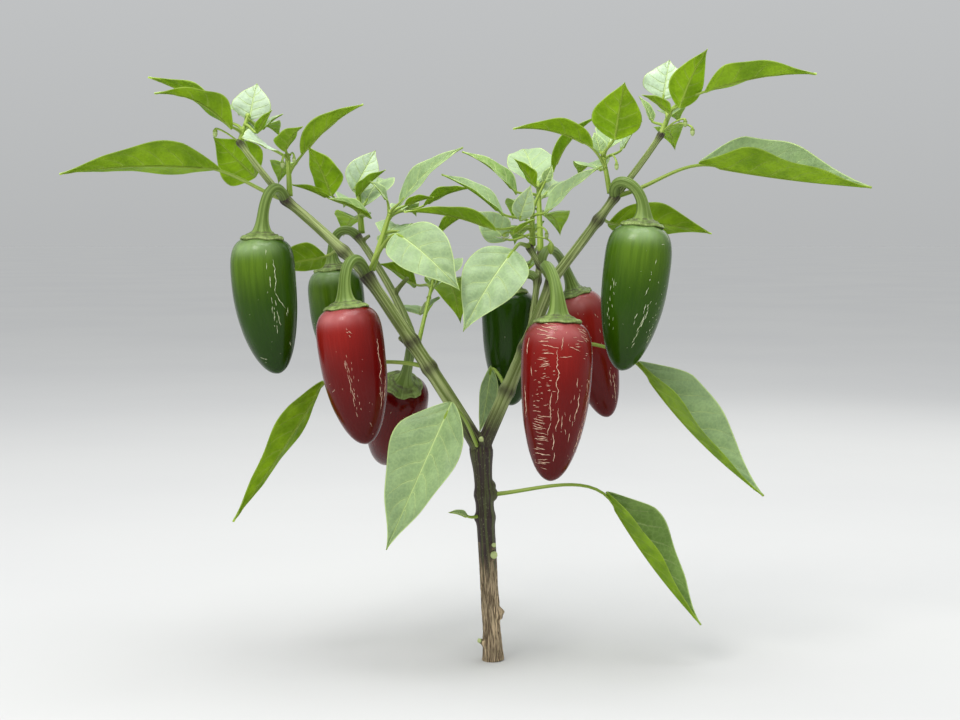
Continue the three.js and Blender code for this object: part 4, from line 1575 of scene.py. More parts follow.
@dataclass
class StemWork:
    """The trunk and boughs as one skin with swollen nodes, ridges, fissures and scars."""

    voxel: float = 0.46
    sides: int = 20
    rings: int = 56
    knuckle_reach: float = 1.25
    node_lift: float = 0.8
    node_width: float = 2.6
    trunk_dark: float = 1.12
    foot_height: float = 34.0
    foot_fade: float = 26.0
    crack_width: float = 0.18
    crack_depth: float = 0.45

    SWELLINGS = (((-0.9, -0.5, 87.5), 3.3), ((-0.2, -0.5, 83.5), 3.6), ((-5.4, -0.6, 72.0), 3.2))
    SCARS = (
        Scar((0.6, -3.2, 52.5), (1.8, -7.2, 54.5), 1.7, 1.0),
        Scar((0.8, -3.2, 56.5), (1.7, -5.6, 59.5), 1.1, 0.9),
        Scar((-3.0, -2.0, 8.5), (-6.6, -3.2, 10.8), 1.2, 0.9),
        Scar((3.0, -1.0, 22.0), (5.4, -1.4, 26.0), 2.1),
        Scar((-3.6, -1.0, 70.5), (-5.6, -1.6, 74.0), 1.5),
        Scar((-4.5, -3.0, 106.0), (-5.0, -6.8, 112.5), 1.4, 0.7),
        Scar((-40.0, 0.5, 157.0), (-45.5, -0.5, 161.5), 1.3),
        Scar((-66.0, 33.0, 208.0), (-61.5, 30.0, 211.5), 1.0),
        Scar((-49.0, 19.0, 182.0), (-41.5, 15.0, 190.5), 1.3),
    )
    STUB_RINGS = ((0.0, 1.35), (0.5, 1.05), (0.85, 1.0), (1.0, 0.8), (1.02, 0.45))
    FRESHNESS = {"upper": 0.75, "tip": 1.0}

    def __post_init__(self) -> None:
        """Sample the middle line of each limb and list where leaves and peppers leave it."""
        self.lines = {name: Line(limb_curve(name)) for name in LIMBS}
        self.nodes: dict[str, list[float]] = {name: [] for name in LIMBS}
        for item in (*PEPPERS.values(), *SINGLE_LEAVES.values()):
            self.nodes[item.on].append(item.at)

    def radius_at(self, name: str, share: Array) -> Array:
        """Return a limb's radius with its swellings.

        Args:
            name: the limb.
            share: places along it.
        """
        limb, length = LIMBS[name], self.lines[name].length
        knuckle = (limb.knuckle - limb.radii[1]) * 0.85
        radius = limb_radius(limb, share)
        radius = radius + knuckle * bell((1 - share) * length / (self.knuckle_reach * limb.knuckle))
        radius = radius + 0.25 * bell(share * length / 3)
        for at in self.nodes[name]:
            if at < 0.97:
                radius = radius + self.node_lift * bell((share - at) * length / self.node_width)
        return radius

    def build(self, finish: Material) -> Thing:
        """Model the bars, join them in one skin and dress it.

        Args:
            finish: their bark.

        Returns:
            The finished piece.
        """
        bar = model_rings("bar", self.sides, [(k / self.rings, 1.0) for k in range(self.rings + 1)])
        x, y, share = read_vectors(bar).T
        pieces = []
        for name, line in self.lines.items():
            radius = self.radius_at(name, share)
            pieces.append(bent_copy(bar, line.bend(share, x * radius, y * radius)))
            pieces.append(self.model_knuckle(line.places[-1], LIMBS[name].knuckle * 0.93))
        pieces += [self.model_knuckle(floats(place), radius) for place, radius in self.SWELLINGS]
        pieces += [self.model_stub(scar) for scar in self.SCARS]
        stem = join_copies(bar, pieces, "stem_and_boughs")
        apply_modifier(stem, "REMESH", mode="VOXEL", voxel_size=self.voxel * MM, adaptivity=0.0)
        apply_modifier(stem, "SMOOTH", factor=0.5, iterations=5)
        self.raise_bark(stem)
        return dress(stem, finish)

    @staticmethod
    def model_knuckle(centre: Array, radius: float) -> Thing:
        """Model the rounded end of a limb.

        Args:
            centre: its middle, in millimetres.
            radius: its radius.

        Returns:
            A ball, a little drawn out upwards.
        """
        place = tuple(centre * MM)
        bpy.ops.mesh.primitive_uv_sphere_add(
            segments=20, ring_count=12, radius=radius * MM, location=place
        )
        ball = open_form("knuckle")
        bpy.ops.transform.resize(value=(1.0, 0.96, 1.06), center_override=place)
        bpy.ops.object.mode_set(mode="OBJECT")
        return ball

    def model_stub(self, scar: Scar) -> Thing:
        """Model the short stub that a cut petiole leaves.

        Args:
            scar: its sizes.

        Returns:
            The stub.
        """
        stub = model_rings("stub", 12, self.STUB_RINGS)
        x, y, height = read_vectors(stub).T
        line = Line(bowed(scar.start, scar.end, (0, 0, 0.3)), floats((0.3, 0.2, 1)))
        share = held(height)
        bent = line.bend(share, x * scar.radius, y * scar.radius, (height - share) * 3)
        return move_vertices(stub, bent)

    def darkness(self, name: str, mm: Array) -> Array:
        """Return how purple a limb's skin is, most at its ends and nodes.

        Args:
            name: the limb.
            mm: distances from its start.
        """
        if name == "trunk":
            return np.full_like(mm, self.trunk_dark)
        limb, length = LIMBS[name], self.lines[name].length
        spots = [bell((length - mm) / (1.5 * limb.knuckle))]
        spots += [0.8 * bell((mm - at * length) / 3.2) for at in self.nodes[name]]
        spots.append(0.75 * bell(mm / (1.2 * limb.radii[0])))
        if name.endswith("lower"):
            spots.append(0.95 * held(1.8 - mm / 14))
        return np.max(spots, axis=0)

    def read_limbs(self, places: Array) -> tuple[Array, Array]:
        """Find the limb that each vertex belongs to, and how it lies on it.

        Args:
            places: vertices of the skin.

        Returns:
            Grain, which is a direction round the limb and a distance along it, and tone, which is
            how woody, how dark and how fresh the skin is.
        """
        best = np.full(len(places), np.inf)
        grain = np.zeros((len(places), 3))
        tone = np.zeros((len(places), 3))
        for number, (name, line) in enumerate(self.lines.items()):
            apart = np.linalg.norm(places[:, None] - line.places[None, ::2], axis=2)
            nearest = apart.argmin(axis=1) * 2
            share = line.shares[nearest]
            off = apart.min(axis=1) / limb_radius(LIMBS[name], share)
            closer = off < best
            best[closer] = off[closer]
            away = places - line.places[nearest]
            x, y, beyond = (
                np.sum(away * rows[nearest], axis=1)
                for rows in (line.across, line.square, line.along)
            )
            size = np.maximum(np.hypot(x, y), 1e-6)
            mm = share * line.length + beyond
            woody = np.zeros_like(mm)
            if name == "trunk":
                woody = held((self.foot_height + self.foot_fade - places[:, 2]) / self.foot_fade)
            fresh = self.FRESHNESS.get(name.split("_")[-1], 0.35)
            grain[closer] = columns(x / size, y / size, mm + 300 * number)[closer]
            tone[closer] = columns(woody, self.darkness(name, mm), fresh)[closer]
        return grain, tone

    def raise_bark(self, stem: Thing) -> None:
        """Raise the bark and keep the values that the finish reads.

        Args:
            stem: the joined skin.
        """
        places = read_vectors(stem) / MM
        grain, tone = self.read_limbs(places)
        waves = noise_at(grain, (1.7, 1.7, 0.04))
        edge = noise_at(grain, (1.1, 1.1, 0.11), 7.0)
        streaks = 0.4 * edge + 0.9 * noise_at(grain, (2.6, 2.6, 0.05), 11.0)
        woody, dark, _ = tone.T
        tone[:, 0] = held(woody + streaks * (woody > 0) * (woody < 1))
        tone[:, 1] = held(dark + 0.25 * edge)
        for scar in self.SCARS:
            apart = np.linalg.norm(places - scar.end, axis=1) / scar.radius
            near = (apart < 1.9) & (scar.paleness > 0)
            core = held((1.8 - apart) / 0.6)
            tone[near] = columns(0.0, 1 - core, 1 + scar.paleness * core)[near]
        cracks = held(self.crack_width - np.abs(noise_at(grain, (4.2, 4.2, 0.13))))
        lumps = 0.45 * noise_at(grain, (1.2, 1.2, 0.09), 3.0)
        angle = np.arctan2(grain[:, 1], grain[:, 0])
        ribs = np.cos(5 * angle + 0.05 * grain[:, 2])
        lift = 0.1 * ribs * (1 - 0.5 * woody) + 0.16 * waves
        lift = lift + woody * (lumps - self.crack_depth * cracks / self.crack_width)
        lift = lift * held(places[:, 2] / 1.5)
        places = places + read_vectors(stem, "normal") * lift[:, None]
        places[:, 2] = np.maximum(places[:, 2], 0.0)
        move_vertices(stem, places)
        write_note(stem, "grain", grain)
        write_note(stem, "stem_tone", tone)


# Peppers


def pepper_radius_at(share: Array | float) -> Array:
    """Return a fruit's radius as a share of its widest.

    Args:
        share: places from its cap to its tip, 0 to 1.
    """
    across = 2 * np.asarray(share, float) ** 0.72 - 1
    power = np.where(across < 0, 3.6, 2.4)
    return np.maximum(1 - np.abs(across) ** power, 0) ** 0.47 * (1 - 0.18 * share * share)


@dataclass(frozen=True)
class Marks:
    """A band of corky marks on a pepper.

    facing is the angle round the fruit, 0 at the front and positive to the left, low and high
    are shares of its height from the cap, and turn is 0 for level marks and 90 for upright ones.
    """

    count: int
    facing: float
    spread: float
    low: float
    high: float
    length: float
    turn: float = 90.0


@dataclass(frozen=True)
class Skinning:
    """How one pepper's skin looks: its painted lit shoulder, its painted shade, and its marks.

    Each of its single cracks is facing, height, length and turn.
    """

    # strength and angle round of the painted lit shoulder, then how much painted shade
    painted_light: float
    painted_light_facing: float
    dark: float
    marks: tuple[Marks, ...]
    cracks: tuple[tuple[float, float, float, float], ...] = ()


# Each skin: painted lit shoulder, its angle round, painted shade, marks and single cracks.
PEPPER_SKINS = {
    "pepper_left_green": Skinning(0.75, 25, 0.5, (
        Marks(4, -15, 5, 0.36, 0.62, 2.2), Marks(5, -20, 7, 0.52, 0.66, 1.5),
        Marks(2, -47, 4, 0.55, 0.6, 4.5), Marks(22, 0, 170, 0.1, 0.9, 0.4),
        Marks(26, 165, 60, 0.15, 0.8, 3),
    ), (
        (-14, 0.115, 2.5, 90), (-14, 0.215, 3.3, 90), (-18, 0.33, 5.5, 90), (-26, 0.29, 17, 90),
        (-34, 0.475, 9, 62), (-24, 0.485, 3, 90), (-29, 0.6, 7.5, 80), (-23, 0.68, 4, 90),
        (-58, 0.8, 2.5, 60), (31, 0.87, 3.7, 30),
    )),
    "pepper_left_red": Skinning(0.7, 25, 0.4, (
        Marks(11, 4, 3, 0.33, 0.78, 3.6), Marks(9, -3, 8, 0.4, 0.75, 1.1),
        Marks(4, 11, 3, 0.38, 0.5, 2.6), Marks(4, -6, 8, 0.15, 0.22, 1.6, 50),
        Marks(16, 0, 90, 0.3, 0.95, 0.5), Marks(30, 150, 55, 0.15, 0.85, 3.5),
    ), (
        (-54, 0.42, 23, 90), (-53, 0.64, 5.5, 90), (-60, 0.7, 9, 90), (-70, 0.62, 12, 90),
        (45, 0.58, 2.8, -30), (-27, 0.86, 2.5, 70),
    )),
    "pepper_rear_red": Skinning(0.0, 0, 0.7, (
        Marks(8, -40, 10, 0.12, 0.4, 3), Marks(14, 0, 80, 0.1, 0.9, 0.5),
        Marks(30, 180, 70, 0.15, 0.85, 3),
    )),
    "pepper_rear_green": Skinning(0.6, 20, 0.3, (
        Marks(10, 0, 90, 0.1, 0.9, 0.5), Marks(24, 175, 60, 0.15, 0.8, 2.5),
    )),
    "pepper_centre_green": Skinning(0.0, 0, 0.8, (
        Marks(12, 0, 90, 0.1, 0.9, 0.5), Marks(26, 180, 70, 0.15, 0.8, 2.5),
    )),
    "pepper_front_red": Skinning(0.6, -2, 0.3, (
        Marks(3, -17, 7, 0.5, 0.72, 4.5), Marks(5, -28, 5, 0.42, 0.76, 3.4),
        Marks(10, -66, 7, 0.35, 0.72, 3.2), Marks(9, 20, 14, 0.02, 0.15, 6, 2),
        Marks(9, 22, 8, 0.18, 0.3, 4.2, -4), Marks(5, -34, 7, 0.1, 0.19, 4.6, 6),
        Marks(14, -54, 9, 0.05, 0.13, 2.4, 25), Marks(3, -50, 6, 0.2, 0.235, 3.2, 5),
        Marks(30, 22, 18, 0.3, 0.54, 1.3, -5), Marks(17, 28, 8, 0.52, 0.92, 5.4, 4),
        Marks(5, 31, 9, 0.6, 0.9, 7, 5), Marks(60, 0, 170, 0.05, 0.95, 0.7),
        Marks(44, 180, 75, 0.1, 0.88, 4), Marks(40, 150, 50, 0.08, 0.85, 4.5, -5),
    ), (
        (2, 0.345, 25, 90), (8, 0.53, 14, 90), (10, 0.67, 6, 100), (4, 0.745, 8.5, 90),
        (-3, 0.84, 4.5, 90), (-4, 0.61, 11, 90), (-35, 0.38, 4.5, 90), (-38, 0.53, 14, 95),
        (-57, 0.73, 12, 95), (-6, 0.145, 6.5, 95), (60, 0.165, 8, 90), (47, 0.32, 5, 80),
        (63, 0.51, 16, 90), (15, 0.12, 6.5, 0), (14, 0.16, 9, 6), (-12, 0.225, 6, 0),
    )),
    "pepper_right_red": Skinning(0.8, -5, 0.35, (
        Marks(12, -36, 12, 0.6, 0.88, 3), Marks(8, -20, 30, 0.1, 0.5, 2),
        Marks(14, 0, 90, 0.1, 0.95, 0.5), Marks(28, 180, 70, 0.15, 0.85, 3),
    )),
    "pepper_right_green": Skinning(0.7, 5, 0.25, (
        Marks(3, -20, 3, 0.3, 0.4, 1.5), Marks(3, -27, 4, 0.52, 0.58, 2.4, 100),
        Marks(8, -24, 5, 0.6, 0.69, 3.4, 108), Marks(3, -6, 3, 0.6, 0.68, 2.6, 100),
        Marks(3, -12, 3, 0.77, 0.82, 2.8, 110), Marks(14, 46, 11, 0.4, 0.74, 1.7),
        Marks(10, -45, 14, 0.35, 0.72, 0.8), Marks(7, -50, 7, 0.68, 0.78, 2, 100),
        Marks(28, 0, 150, 0.1, 0.9, 0.4), Marks(26, 175, 60, 0.15, 0.8, 3),
    ), (
        (-26, 0.255, 2.5, 90), (-17, 0.455, 4.2, 105), (-20, 0.57, 4.8, 95), (-16, 0.7, 4.2, 110),
        (-15, 0.74, 4, 108), (45, 0.43, 4.2, 90), (-38, 0.13, 1.8, 0),
    )),
}


class Ripeness(Enum):
    """The two kinds of fruit, as their names end."""

    GREEN = "green"
    RED = "red"

    def names(self) -> list[str]:
        """Return the names of the peppers of this kind."""
        return [name for name in PEPPERS if name.endswith(self.value)]


@dataclass
class PepperWork:
    """Fruit, caps and stalks, modelled once and bent to each pepper's own line.

    The painted lit shoulder and the painted sheen on it are each how strong, how many degrees
    round, how far down and how soft. A row of the cap is how far down it lies and its share of
    the rim.
    """

    fruit_sides: int = 48
    fruit_rings: int = 26
    stalk_sides: int = 40
    stalk_rings: int = 22
    mark_sides: int = 6

    # painted lit shoulder and the painted sheen on it
    SHOULDER, WAX = (1.0, 75, 0.16, 0.22), (0.62, 65, 0.075, 0.055)
    CAP_ROWS = (
        (-1.3, 0.0), (-1.2, 0.15), (-0.7, 0.17), (-0.6, 0.38), (0.0, 0.52), (0.5, 0.54),
        (0.55, 0.84), (1.2, 0.95), (1.9, 1.04), (2.6, 1.0), (3.0, 0.7),
    )

    @staticmethod
    def seed_of(name: str) -> float:
        """Return the number that makes a pepper's dents and marks its own."""
        return 3.7 * list(PEPPERS).index(name)

    def fruit_places(self, name: str, template: Array) -> tuple[Array, Array]:
        """Bend the straight fruit to one pepper.

        Args:
            name: the pepper.
            template: vertices of the straight fruit.

        Returns:
            Places, and the same fruit's straight places.
        """
        pepper, seed = PEPPERS[name], self.seed_of(name)
        axis = unit(floats(pepper.tip) - pepper.cap)
        line = Line(bowed(floats(pepper.cap) + axis, pepper.tip, pepper.bow))
        x, y, height = template.T
        share = held(height)
        angle = np.arctan2(y, x)
        ring = columns(np.cos(angle), np.sin(angle), share * 2.2 + seed)
        dents = 0.022 * noise_at(ring, (1.3, 1.3, 1.0))
        fine = 0.006 * noise_at(ring, (3.0, 3.0, 4.0), 5.0)
        lobes = 0.018 * (np.cos(3 * angle + seed) * fade(share, 0.35))
        crease = 0.03 * fade(share, 0.05) * np.cos(4 * angle + 2 * seed)
        radius = pepper.radius * (1 + dents + fine + lobes + crease)
        straight = columns(x * pepper.radius, y * pepper.radius, share * line.length)
        return line.bend(share, x * radius, y * radius), straight

    def build_fruit(self, names: Sequence[str], joined_name: str, finish: Material) -> Thing:
        """Make the fruit of one ripeness as one piece.

        Args:
            names: peppers to make.
            joined_name: name of the piece.
            finish: their skin.

        Returns:
            The finished piece.
        """
        shares = (1 - np.cos(math.pi * np.linspace(0.045, 0.975, self.fruit_rings))) / 2
        rings = [(float(share), float(pepper_radius_at(share))) for share in shares]
        rings = [(0.0, rings[0][1] * 0.45), *rings, (1.0, rings[-1][1] * 0.4)]
        fruit = model_rings("fruit", self.fruit_sides, rings)
        apply_modifier(fruit, "SUBSURF", levels=1, render_levels=1)
        template = read_vectors(fruit)
        angle = np.degrees(np.arctan2(template[:, 1], template[:, 0]))
        share = template[:, 2]
        pieces = []
        for name in names:
            look = PEPPER_SKINS[name]
            bent, straight = self.fruit_places(name, template)
            piece = bent_copy(fruit, bent)
            write_note(piece, "skin_place", straight + (0, 0, 90 * self.seed_of(name)))
            # painted lit shoulder and painted sheen, on one side at the top
            apart = np.abs((angle - look.painted_light_facing + 180) % 360 - 180)
            painted_light, painted_sheen = (
                most * look.painted_light * held(1.2 - apart / reach) * bell((share - at) / fading)
                for most, reach, at, fading in (self.SHOULDER, self.WAX)
            )
            # painted shade: for the whole pepper, under its cap and towards its tip
            dark = look.dark + 0.25 * fade(share, 0.04) + 0.5 * held((share - 0.6) / 0.4)
            write_note(piece, "skin_painted_light", columns(painted_light, held(dark), painted_sheen))
            pieces.append(piece)
        return dress(join_copies(fruit, pieces, joined_name), finish)

    def add_mark(self, skin: Skin, name: str, band: Marks, number: int, random: Seeded) -> None:
        """Add one corky mark as a thin raised thread.

        Args:
            skin: mesh that gets it.
            name: the pepper.
            band: the marks that it is one of.
            number: its number among them.
            random: the pepper's stream of numbers.
        """
        pepper = PEPPERS[name]
        tall = float(np.linalg.norm(floats(pepper.tip) - pepper.cap))
        vary = 1.1 if band.spread else 0.1
        length = band.length * (1 + vary * random.around())
        share = band.low + (band.high - band.low) * (number + random.next()) / band.count
        side = (2 * random.next() - 1) * band.spread
        turn = math.radians(band.turn + 20 * vary * random.around())
        rise, level = math.sin(turn), math.cos(turn)
        count = max(4, math.ceil(length / 0.8) + 1)
        steps = np.linspace(-0.5, 0.5, count)
        along = steps * length
        drift = np.zeros(count)
        stray = 0.0
        for k in range(count):
            stray = 0.92 * stray + (0.2 + 0.04 * length) * random.around()
            drift[k] = stray
        down = np.clip(share + (along * rise - drift * level) / tall, 0.015, 0.975)
        size = pepper_radius_at(down)
        round_by = (along * level + drift * rise) / (pepper.radius * size)
        angle = math.radians(band.facing + side) - round_by
        path = columns(np.cos(angle) * size, np.sin(angle) * size, down)
        places, _ = self.fruit_places(name, path)
        thick = (0.12 + min(0.011 * length, 0.11)) * (0.8 + 0.4 * random.next())
        ends = np.sqrt(np.clip(1 - (2 * steps) ** 2, 0.03, 1))
        ends = ends * (0.7 + 0.3 * np.cos(along * 2.1 + 6 * random.next()))
        add_tube(skin, places, thick * ends, self.mark_sides)

    def build_marks(self, names: Sequence[str], joined_name: str, finish: Material) -> Thing:
        """Make the marks of one ripeness as one piece.

        Args:
            names: peppers that bear them.
            joined_name: name of the piece.
            finish: their corky skin.

        Returns:
            The finished piece.
        """
        skin = Skin(joined_name)
        for name in names:
            random = Seeded(round(self.seed_of(name) * 10) + 5)
            look = PEPPER_SKINS[name]
            cracks = [Marks(1, facing, 0, at, at, *rest) for facing, at, *rest in look.cracks]
            for band in (*look.marks, *cracks):
                for number in range(band.count):
                    self.add_mark(skin, name, band, number, random)
        return skin.build([finish])

    def stalk_line(self, pepper: Pepper) -> Line:
        """Return the middle line of a stalk, which ends where its cap begins.

        Args:
            pepper: sizes of the pepper.
        """
        cap = floats(pepper.cap)
        axis = unit(floats(pepper.tip) - cap)
        axis = bowed(cap + axis, pepper.tip, pepper.bow).along(0.0)
        start = limb_curve(pepper.on).point(pepper.at)
        top = cap + axis * self.CAP_ROWS[0][0]
        return Line(stalk_curve(start, top, axis, pepper.hook, pepper.lead))

    def bend_stalk(self, stalk: Thing, name: str) -> Thing:
        """Bend the straight stalk and cap to one pepper.

        Args:
            stalk: straight stalk, with height 0 to 1 for the stalk and 1 to 2 for the cap.
            name: the pepper.

        Returns:
            Its stalk and cap.
        """
        pepper, number = PEPPERS[name], list(PEPPERS).index(name)
        line = self.stalk_line(pepper)
        x, y, height = read_vectors(stalk).T
        angle = np.arctan2(y, x)
        share = held(height)
        step = held(height - 1) * (len(self.CAP_ROWS) - 1)
        on_cap = height > 1.0001
        drop, spread = (np.interp(step, range(len(rows)), rows) for rows in zip(*self.CAP_ROWS))
        rib = np.cos(5 * angle + number)
        rim_angle = 6 * angle + 2 * number
        rim = pepper.radius * PEPPER_CAP_SHARE
        base = PEPPER_STALK_RADIUS * pepper.radius / 16
        neck = base * 2.05
        thick = base * (1.02 + 0.08 * share + 0.95 * share**9 + 0.2 * fade(share, 0.06))
        thick = thick * (1 + 0.05 * rib)
        ragged = held((spread - 0.5) / 0.5)
        jag = 0.05 * np.cos(rim_angle) + 0.035 * np.cos(13 * angle + number)
        wide = neck + (rim - neck) * spread
        wide = wide * (1 + ragged * jag + 0.03 * rib * (1 - ragged))
        radius = np.where(on_cap, wide, thick)
        ring_x, ring_y = np.cos(angle), np.sin(angle)
        bumps = noise_at(columns(3.4 * ring_x, 3.4 * ring_y, 0.9 * step + number))
        low = np.where(on_cap, drop - self.CAP_ROWS[0][0], 0.0)
        low = low + ragged * 0.3 * np.cos(rim_angle + 1) + 0.75 * on_cap * bumps
        piece = bent_copy(stalk, line.bend(share, ring_x * radius, ring_y * radius, low))
        mm = share * line.length + low
        write_note(piece, "grain", columns(ring_x, ring_y, mm + 40 * number))
        woody = 0.55 * held(1 - np.abs(step - 8)) + 0.12 * on_cap
        dark = 0.6 * fade(share, 0.09)
        dark = dark + on_cap * (0.75 * bell(step - 1.6) + 0.6 * bell(step - 4.7))
        dark = dark - 1.5 * on_cap * bumps + held(step - 8.5)
        write_note(piece, "stem_tone", columns(woody, dark, 0.6 - 0.3 * on_cap))
        return piece

    def build_stalks(self, finish: Material) -> Thing:
        """Make all stalks and caps as one piece.

        Args:
            finish: their green skin.

        Returns:
            The finished piece.
        """
        rows = len(self.CAP_ROWS) - 1
        rings = [(k / self.stalk_rings, 1.0) for k in range(self.stalk_rings + 1)]
        rings += [(1 + k / rows, 1.0) for k in range(1, rows + 1)]
        stalk = model_rings("stalk", self.stalk_sides, rings)
        joined = join_copies(stalk, [self.bend_stalk(stalk, name) for name in PEPPERS], "pepper_stalks")
        apply_modifier(joined, "SUBSURF", levels=1, render_levels=1)
        return dress(joined, finish)


# Buds and flower


class BloomKind(Enum):
    """What ends a flower stalk: its finish, and its rings as shares of its size."""

    BUD = (1, ((0.05, 0.45), (0.6, 0.56), (1.1, 0.6), (1.6, 0.45), (1.9, 0.15)))
    FLOWER = (1, ((0.4, 0.25), (0.9, 0.32), (1.3, 0.16)))
    FRUITLET = (0, ((0.05, 0.5), (0.8, 0.85), (1.7, 0.8), (2.4, 0.45), (2.7, 0.12)))


@dataclass(frozen=True)
class Bloom:
    """A bud, flower or tiny fruit on a thin hooked stalk."""

    start: Point
    end: Point
    rise: float
    size: float
    kind: BloomKind = BloomKind.BUD


BLOOMS = (
    Bloom((-121, -16, 256), (-132, -20, 262), 2.0, 2.0),
    Bloom((-99, -14, 250), (-100, -20, 247), 3.0, 1.7),
    Bloom((-97, -13, 250), (-94.5, -19, 249), 3.0, 1.5),
    Bloom((57, -12, 250), (60, -18, 246), 3.5, 1.7),
    Bloom((82, -14, 261), (92.5, -20, 266.5), 3.0, 1.8),
    Bloom((83, -14, 262), (96, -20, 262.5), 5.0, 1.9),
    Bloom((20, 4, 212), (27, -6, 213), 6.0, 1.7),
    Bloom((19, 4, 210), (29, -7, 208), 3.0, 2.1, BloomKind.FRUITLET),
    Bloom((20, 2, 209), (6, -10, 212), 4.0, 2.2, BloomKind.FLOWER),
)


@dataclass
class BloomWork:
    """Buds, the small flower and their stalks, from arrays."""

    petals: int = 6
    petal_thickness: float = 0.22
    cup: tuple[tuple[float, float], ...] = ((-0.1, 0.25), (0.1, 0.5), (0.55, 0.62), (0.6, 0.5))

    def add_petals(self, skin: Skin, base: Array, axis: Array, size: float, look: int) -> None:
        """Add a ring of pointed petals.

        Args:
            skin: mesh that gets them.
            base: middle of the flower.
            axis: direction that it faces.
            size: length of a petal.
            look: number of their finish.
        """
        across = unit(np.cross(axis, UP + 0.1))
        square = np.cross(axis, across)
        along = np.linspace(0.08, 1.0, 7)
        wide = size * 0.3 * np.sin(math.pi * along**0.6) + 0.03
        rise = size * 0.25 * np.sin(math.pi * along) * 0.5
        for k in range(self.petals):
            turn = 2 * math.pi * k / self.petals
            out = math.cos(turn) * across + math.sin(turn) * square
            side = np.cross(axis, out) * wide[:, None]
            middle = base + out * (along * size)[:, None] + axis * rise[:, None]
            back = middle - axis * self.petal_thickness
            rows = np.stack([middle + side, middle, middle - side, back], axis=1).reshape(-1, 3)
            start = skin.count
            values = np.zeros((len(rows), 3))
            skin.add(rows, grid_faces(len(along), 4, True), look, grain=values, stem_tone=values)
            skin.more(np.array([[0, 1, 2, 3]]), start, look)
            skin.more(np.array([[3, 2, 1, 0]]) + len(rows) - 4, start, look)

    def build(self, finishes: Sequence[Material]) -> Thing:
        """Make all blooms as one piece.

        Args:
            finishes: green stalk, bud and petal finishes.

        Returns:
            The finished piece.
        """
        skin = Skin("buds_and_flower")
        shares = np.linspace(0, 1, 12)
        for bloom in BLOOMS:
            start, end = floats(bloom.start), floats(bloom.end)
            curve = Bezier(start, (start + end) / 2 + UP * bloom.rise, end + UP * 1.5, end)
            add_tube(skin, curve.at(shares), 0.42 + 0.25 * shares**3, 8, 0, tone=0.8)
            axis = unit(curve.along(1.0) + floats((0, -0.15, -0.3)))
            look, rings = bloom.kind.value
            for form, number in ((self.cup, 0), (rings, look)):
                rows = floats(form) * bloom.size
                add_tube(skin, end + axis * rows[:, :1], rows[:, 1], 12, number)
            if bloom.kind is BloomKind.FLOWER:
                self.add_petals(skin, end + axis * bloom.size * 0.5, axis, bloom.size * 1.9, 2)
        return skin.build(finishes)


# Studio


@dataclass
class Studio:
    """The camera, the floor and the lights."""

    camera_place: Point = (-0.0055, -0.863, 0.2121)
    camera_down: float = 4.1
    lens: float = 65.74
    floor_size: float = 60.0
    horizon: Colour = (0.47, 0.48, 0.484)
    zenith: Colour = (0.9, 0.92, 0.94)

    LIGHTS = (
        ("key", (-0.6, -0.8, 1.3), 0.17, 0.5, 8.0, (1.0, 0.98, 0.94)),
        ("top", (0.0, -0.1, 1.6), 0.15, 1.0, 15.0, (0.98, 0.99, 1.0)),
        ("back", (0.6, 1.0, 0.75), 0.2, 0.8, 1.8, (1.0, 1.0, 0.96)),
    )

    def build(self, floor_finish: Material) -> None:
        """Make the studio.

        Args:
            floor_finish: the pale floor's finish.
        """
        self.add_camera()
        bpy.ops.mesh.primitive_plane_add(size=self.floor_size)
        floor = bpy.context.active_object
        floor.name = "floor"
        floor.data.materials.append(floor_finish)
        for light in self.LIGHTS:
            self.add_light(*light)
        self.add_sky()
        bpy.context.scene.view_settings.view_transform = "Standard"

    def add_sky(self) -> None:
        """Add a soft sky that meets the floor's tone at the horizon."""
        world = bpy.data.worlds.new("soft_sky")
        world.use_nodes = True
        graph = Graph(world.node_tree)
        height = graph.parts(graph.node("TexCoord").outputs["Generated"])[2]
        colour = graph.mix(graph.larger(height, 0.0), self.horizon, self.zenith)
        graph.fill(world.node_tree.nodes["Background"], Color=colour)
        bpy.context.scene.world = world

    def add_camera(self) -> None:
        """Add the camera at the photograph's viewing angle."""
        data = bpy.data.cameras.new("camera")
        data.lens = self.lens
        data.sensor_width = 36.0
        data.clip_start = 0.01
        camera = bpy.data.objects.new("camera", data)
        camera.location = self.camera_place
        camera.rotation_euler = (math.radians(90 - self.camera_down), 0, 0)
        bpy.context.scene.collection.objects.link(camera)
        bpy.context.scene.camera = camera

    @staticmethod
    def add_light(
        name: str, place: Point, towards: float, size: float, power: float, colour: Colour
    ) -> None:
        """Add a soft light that points at the plant.

        Args:
            name: its name.
            place: where it stands.
            towards: height at the plant's middle that it points to.
            size: side of its square.
            power: its power.
            colour: its colour.
        """
        data = bpy.data.lights.new(name, "AREA")
        data.size = size
        data.energy = power
        data.color = colour
        lamp = bpy.data.objects.new(name, data)
        lamp.location = place
        direction = Vector((0.0, 0.0, towards)) - Vector(place)
        lamp.rotation_euler = direction.to_track_quat("-Z", "Y").to_euler()
        bpy.context.scene.collection.objects.link(lamp)


# Assembly


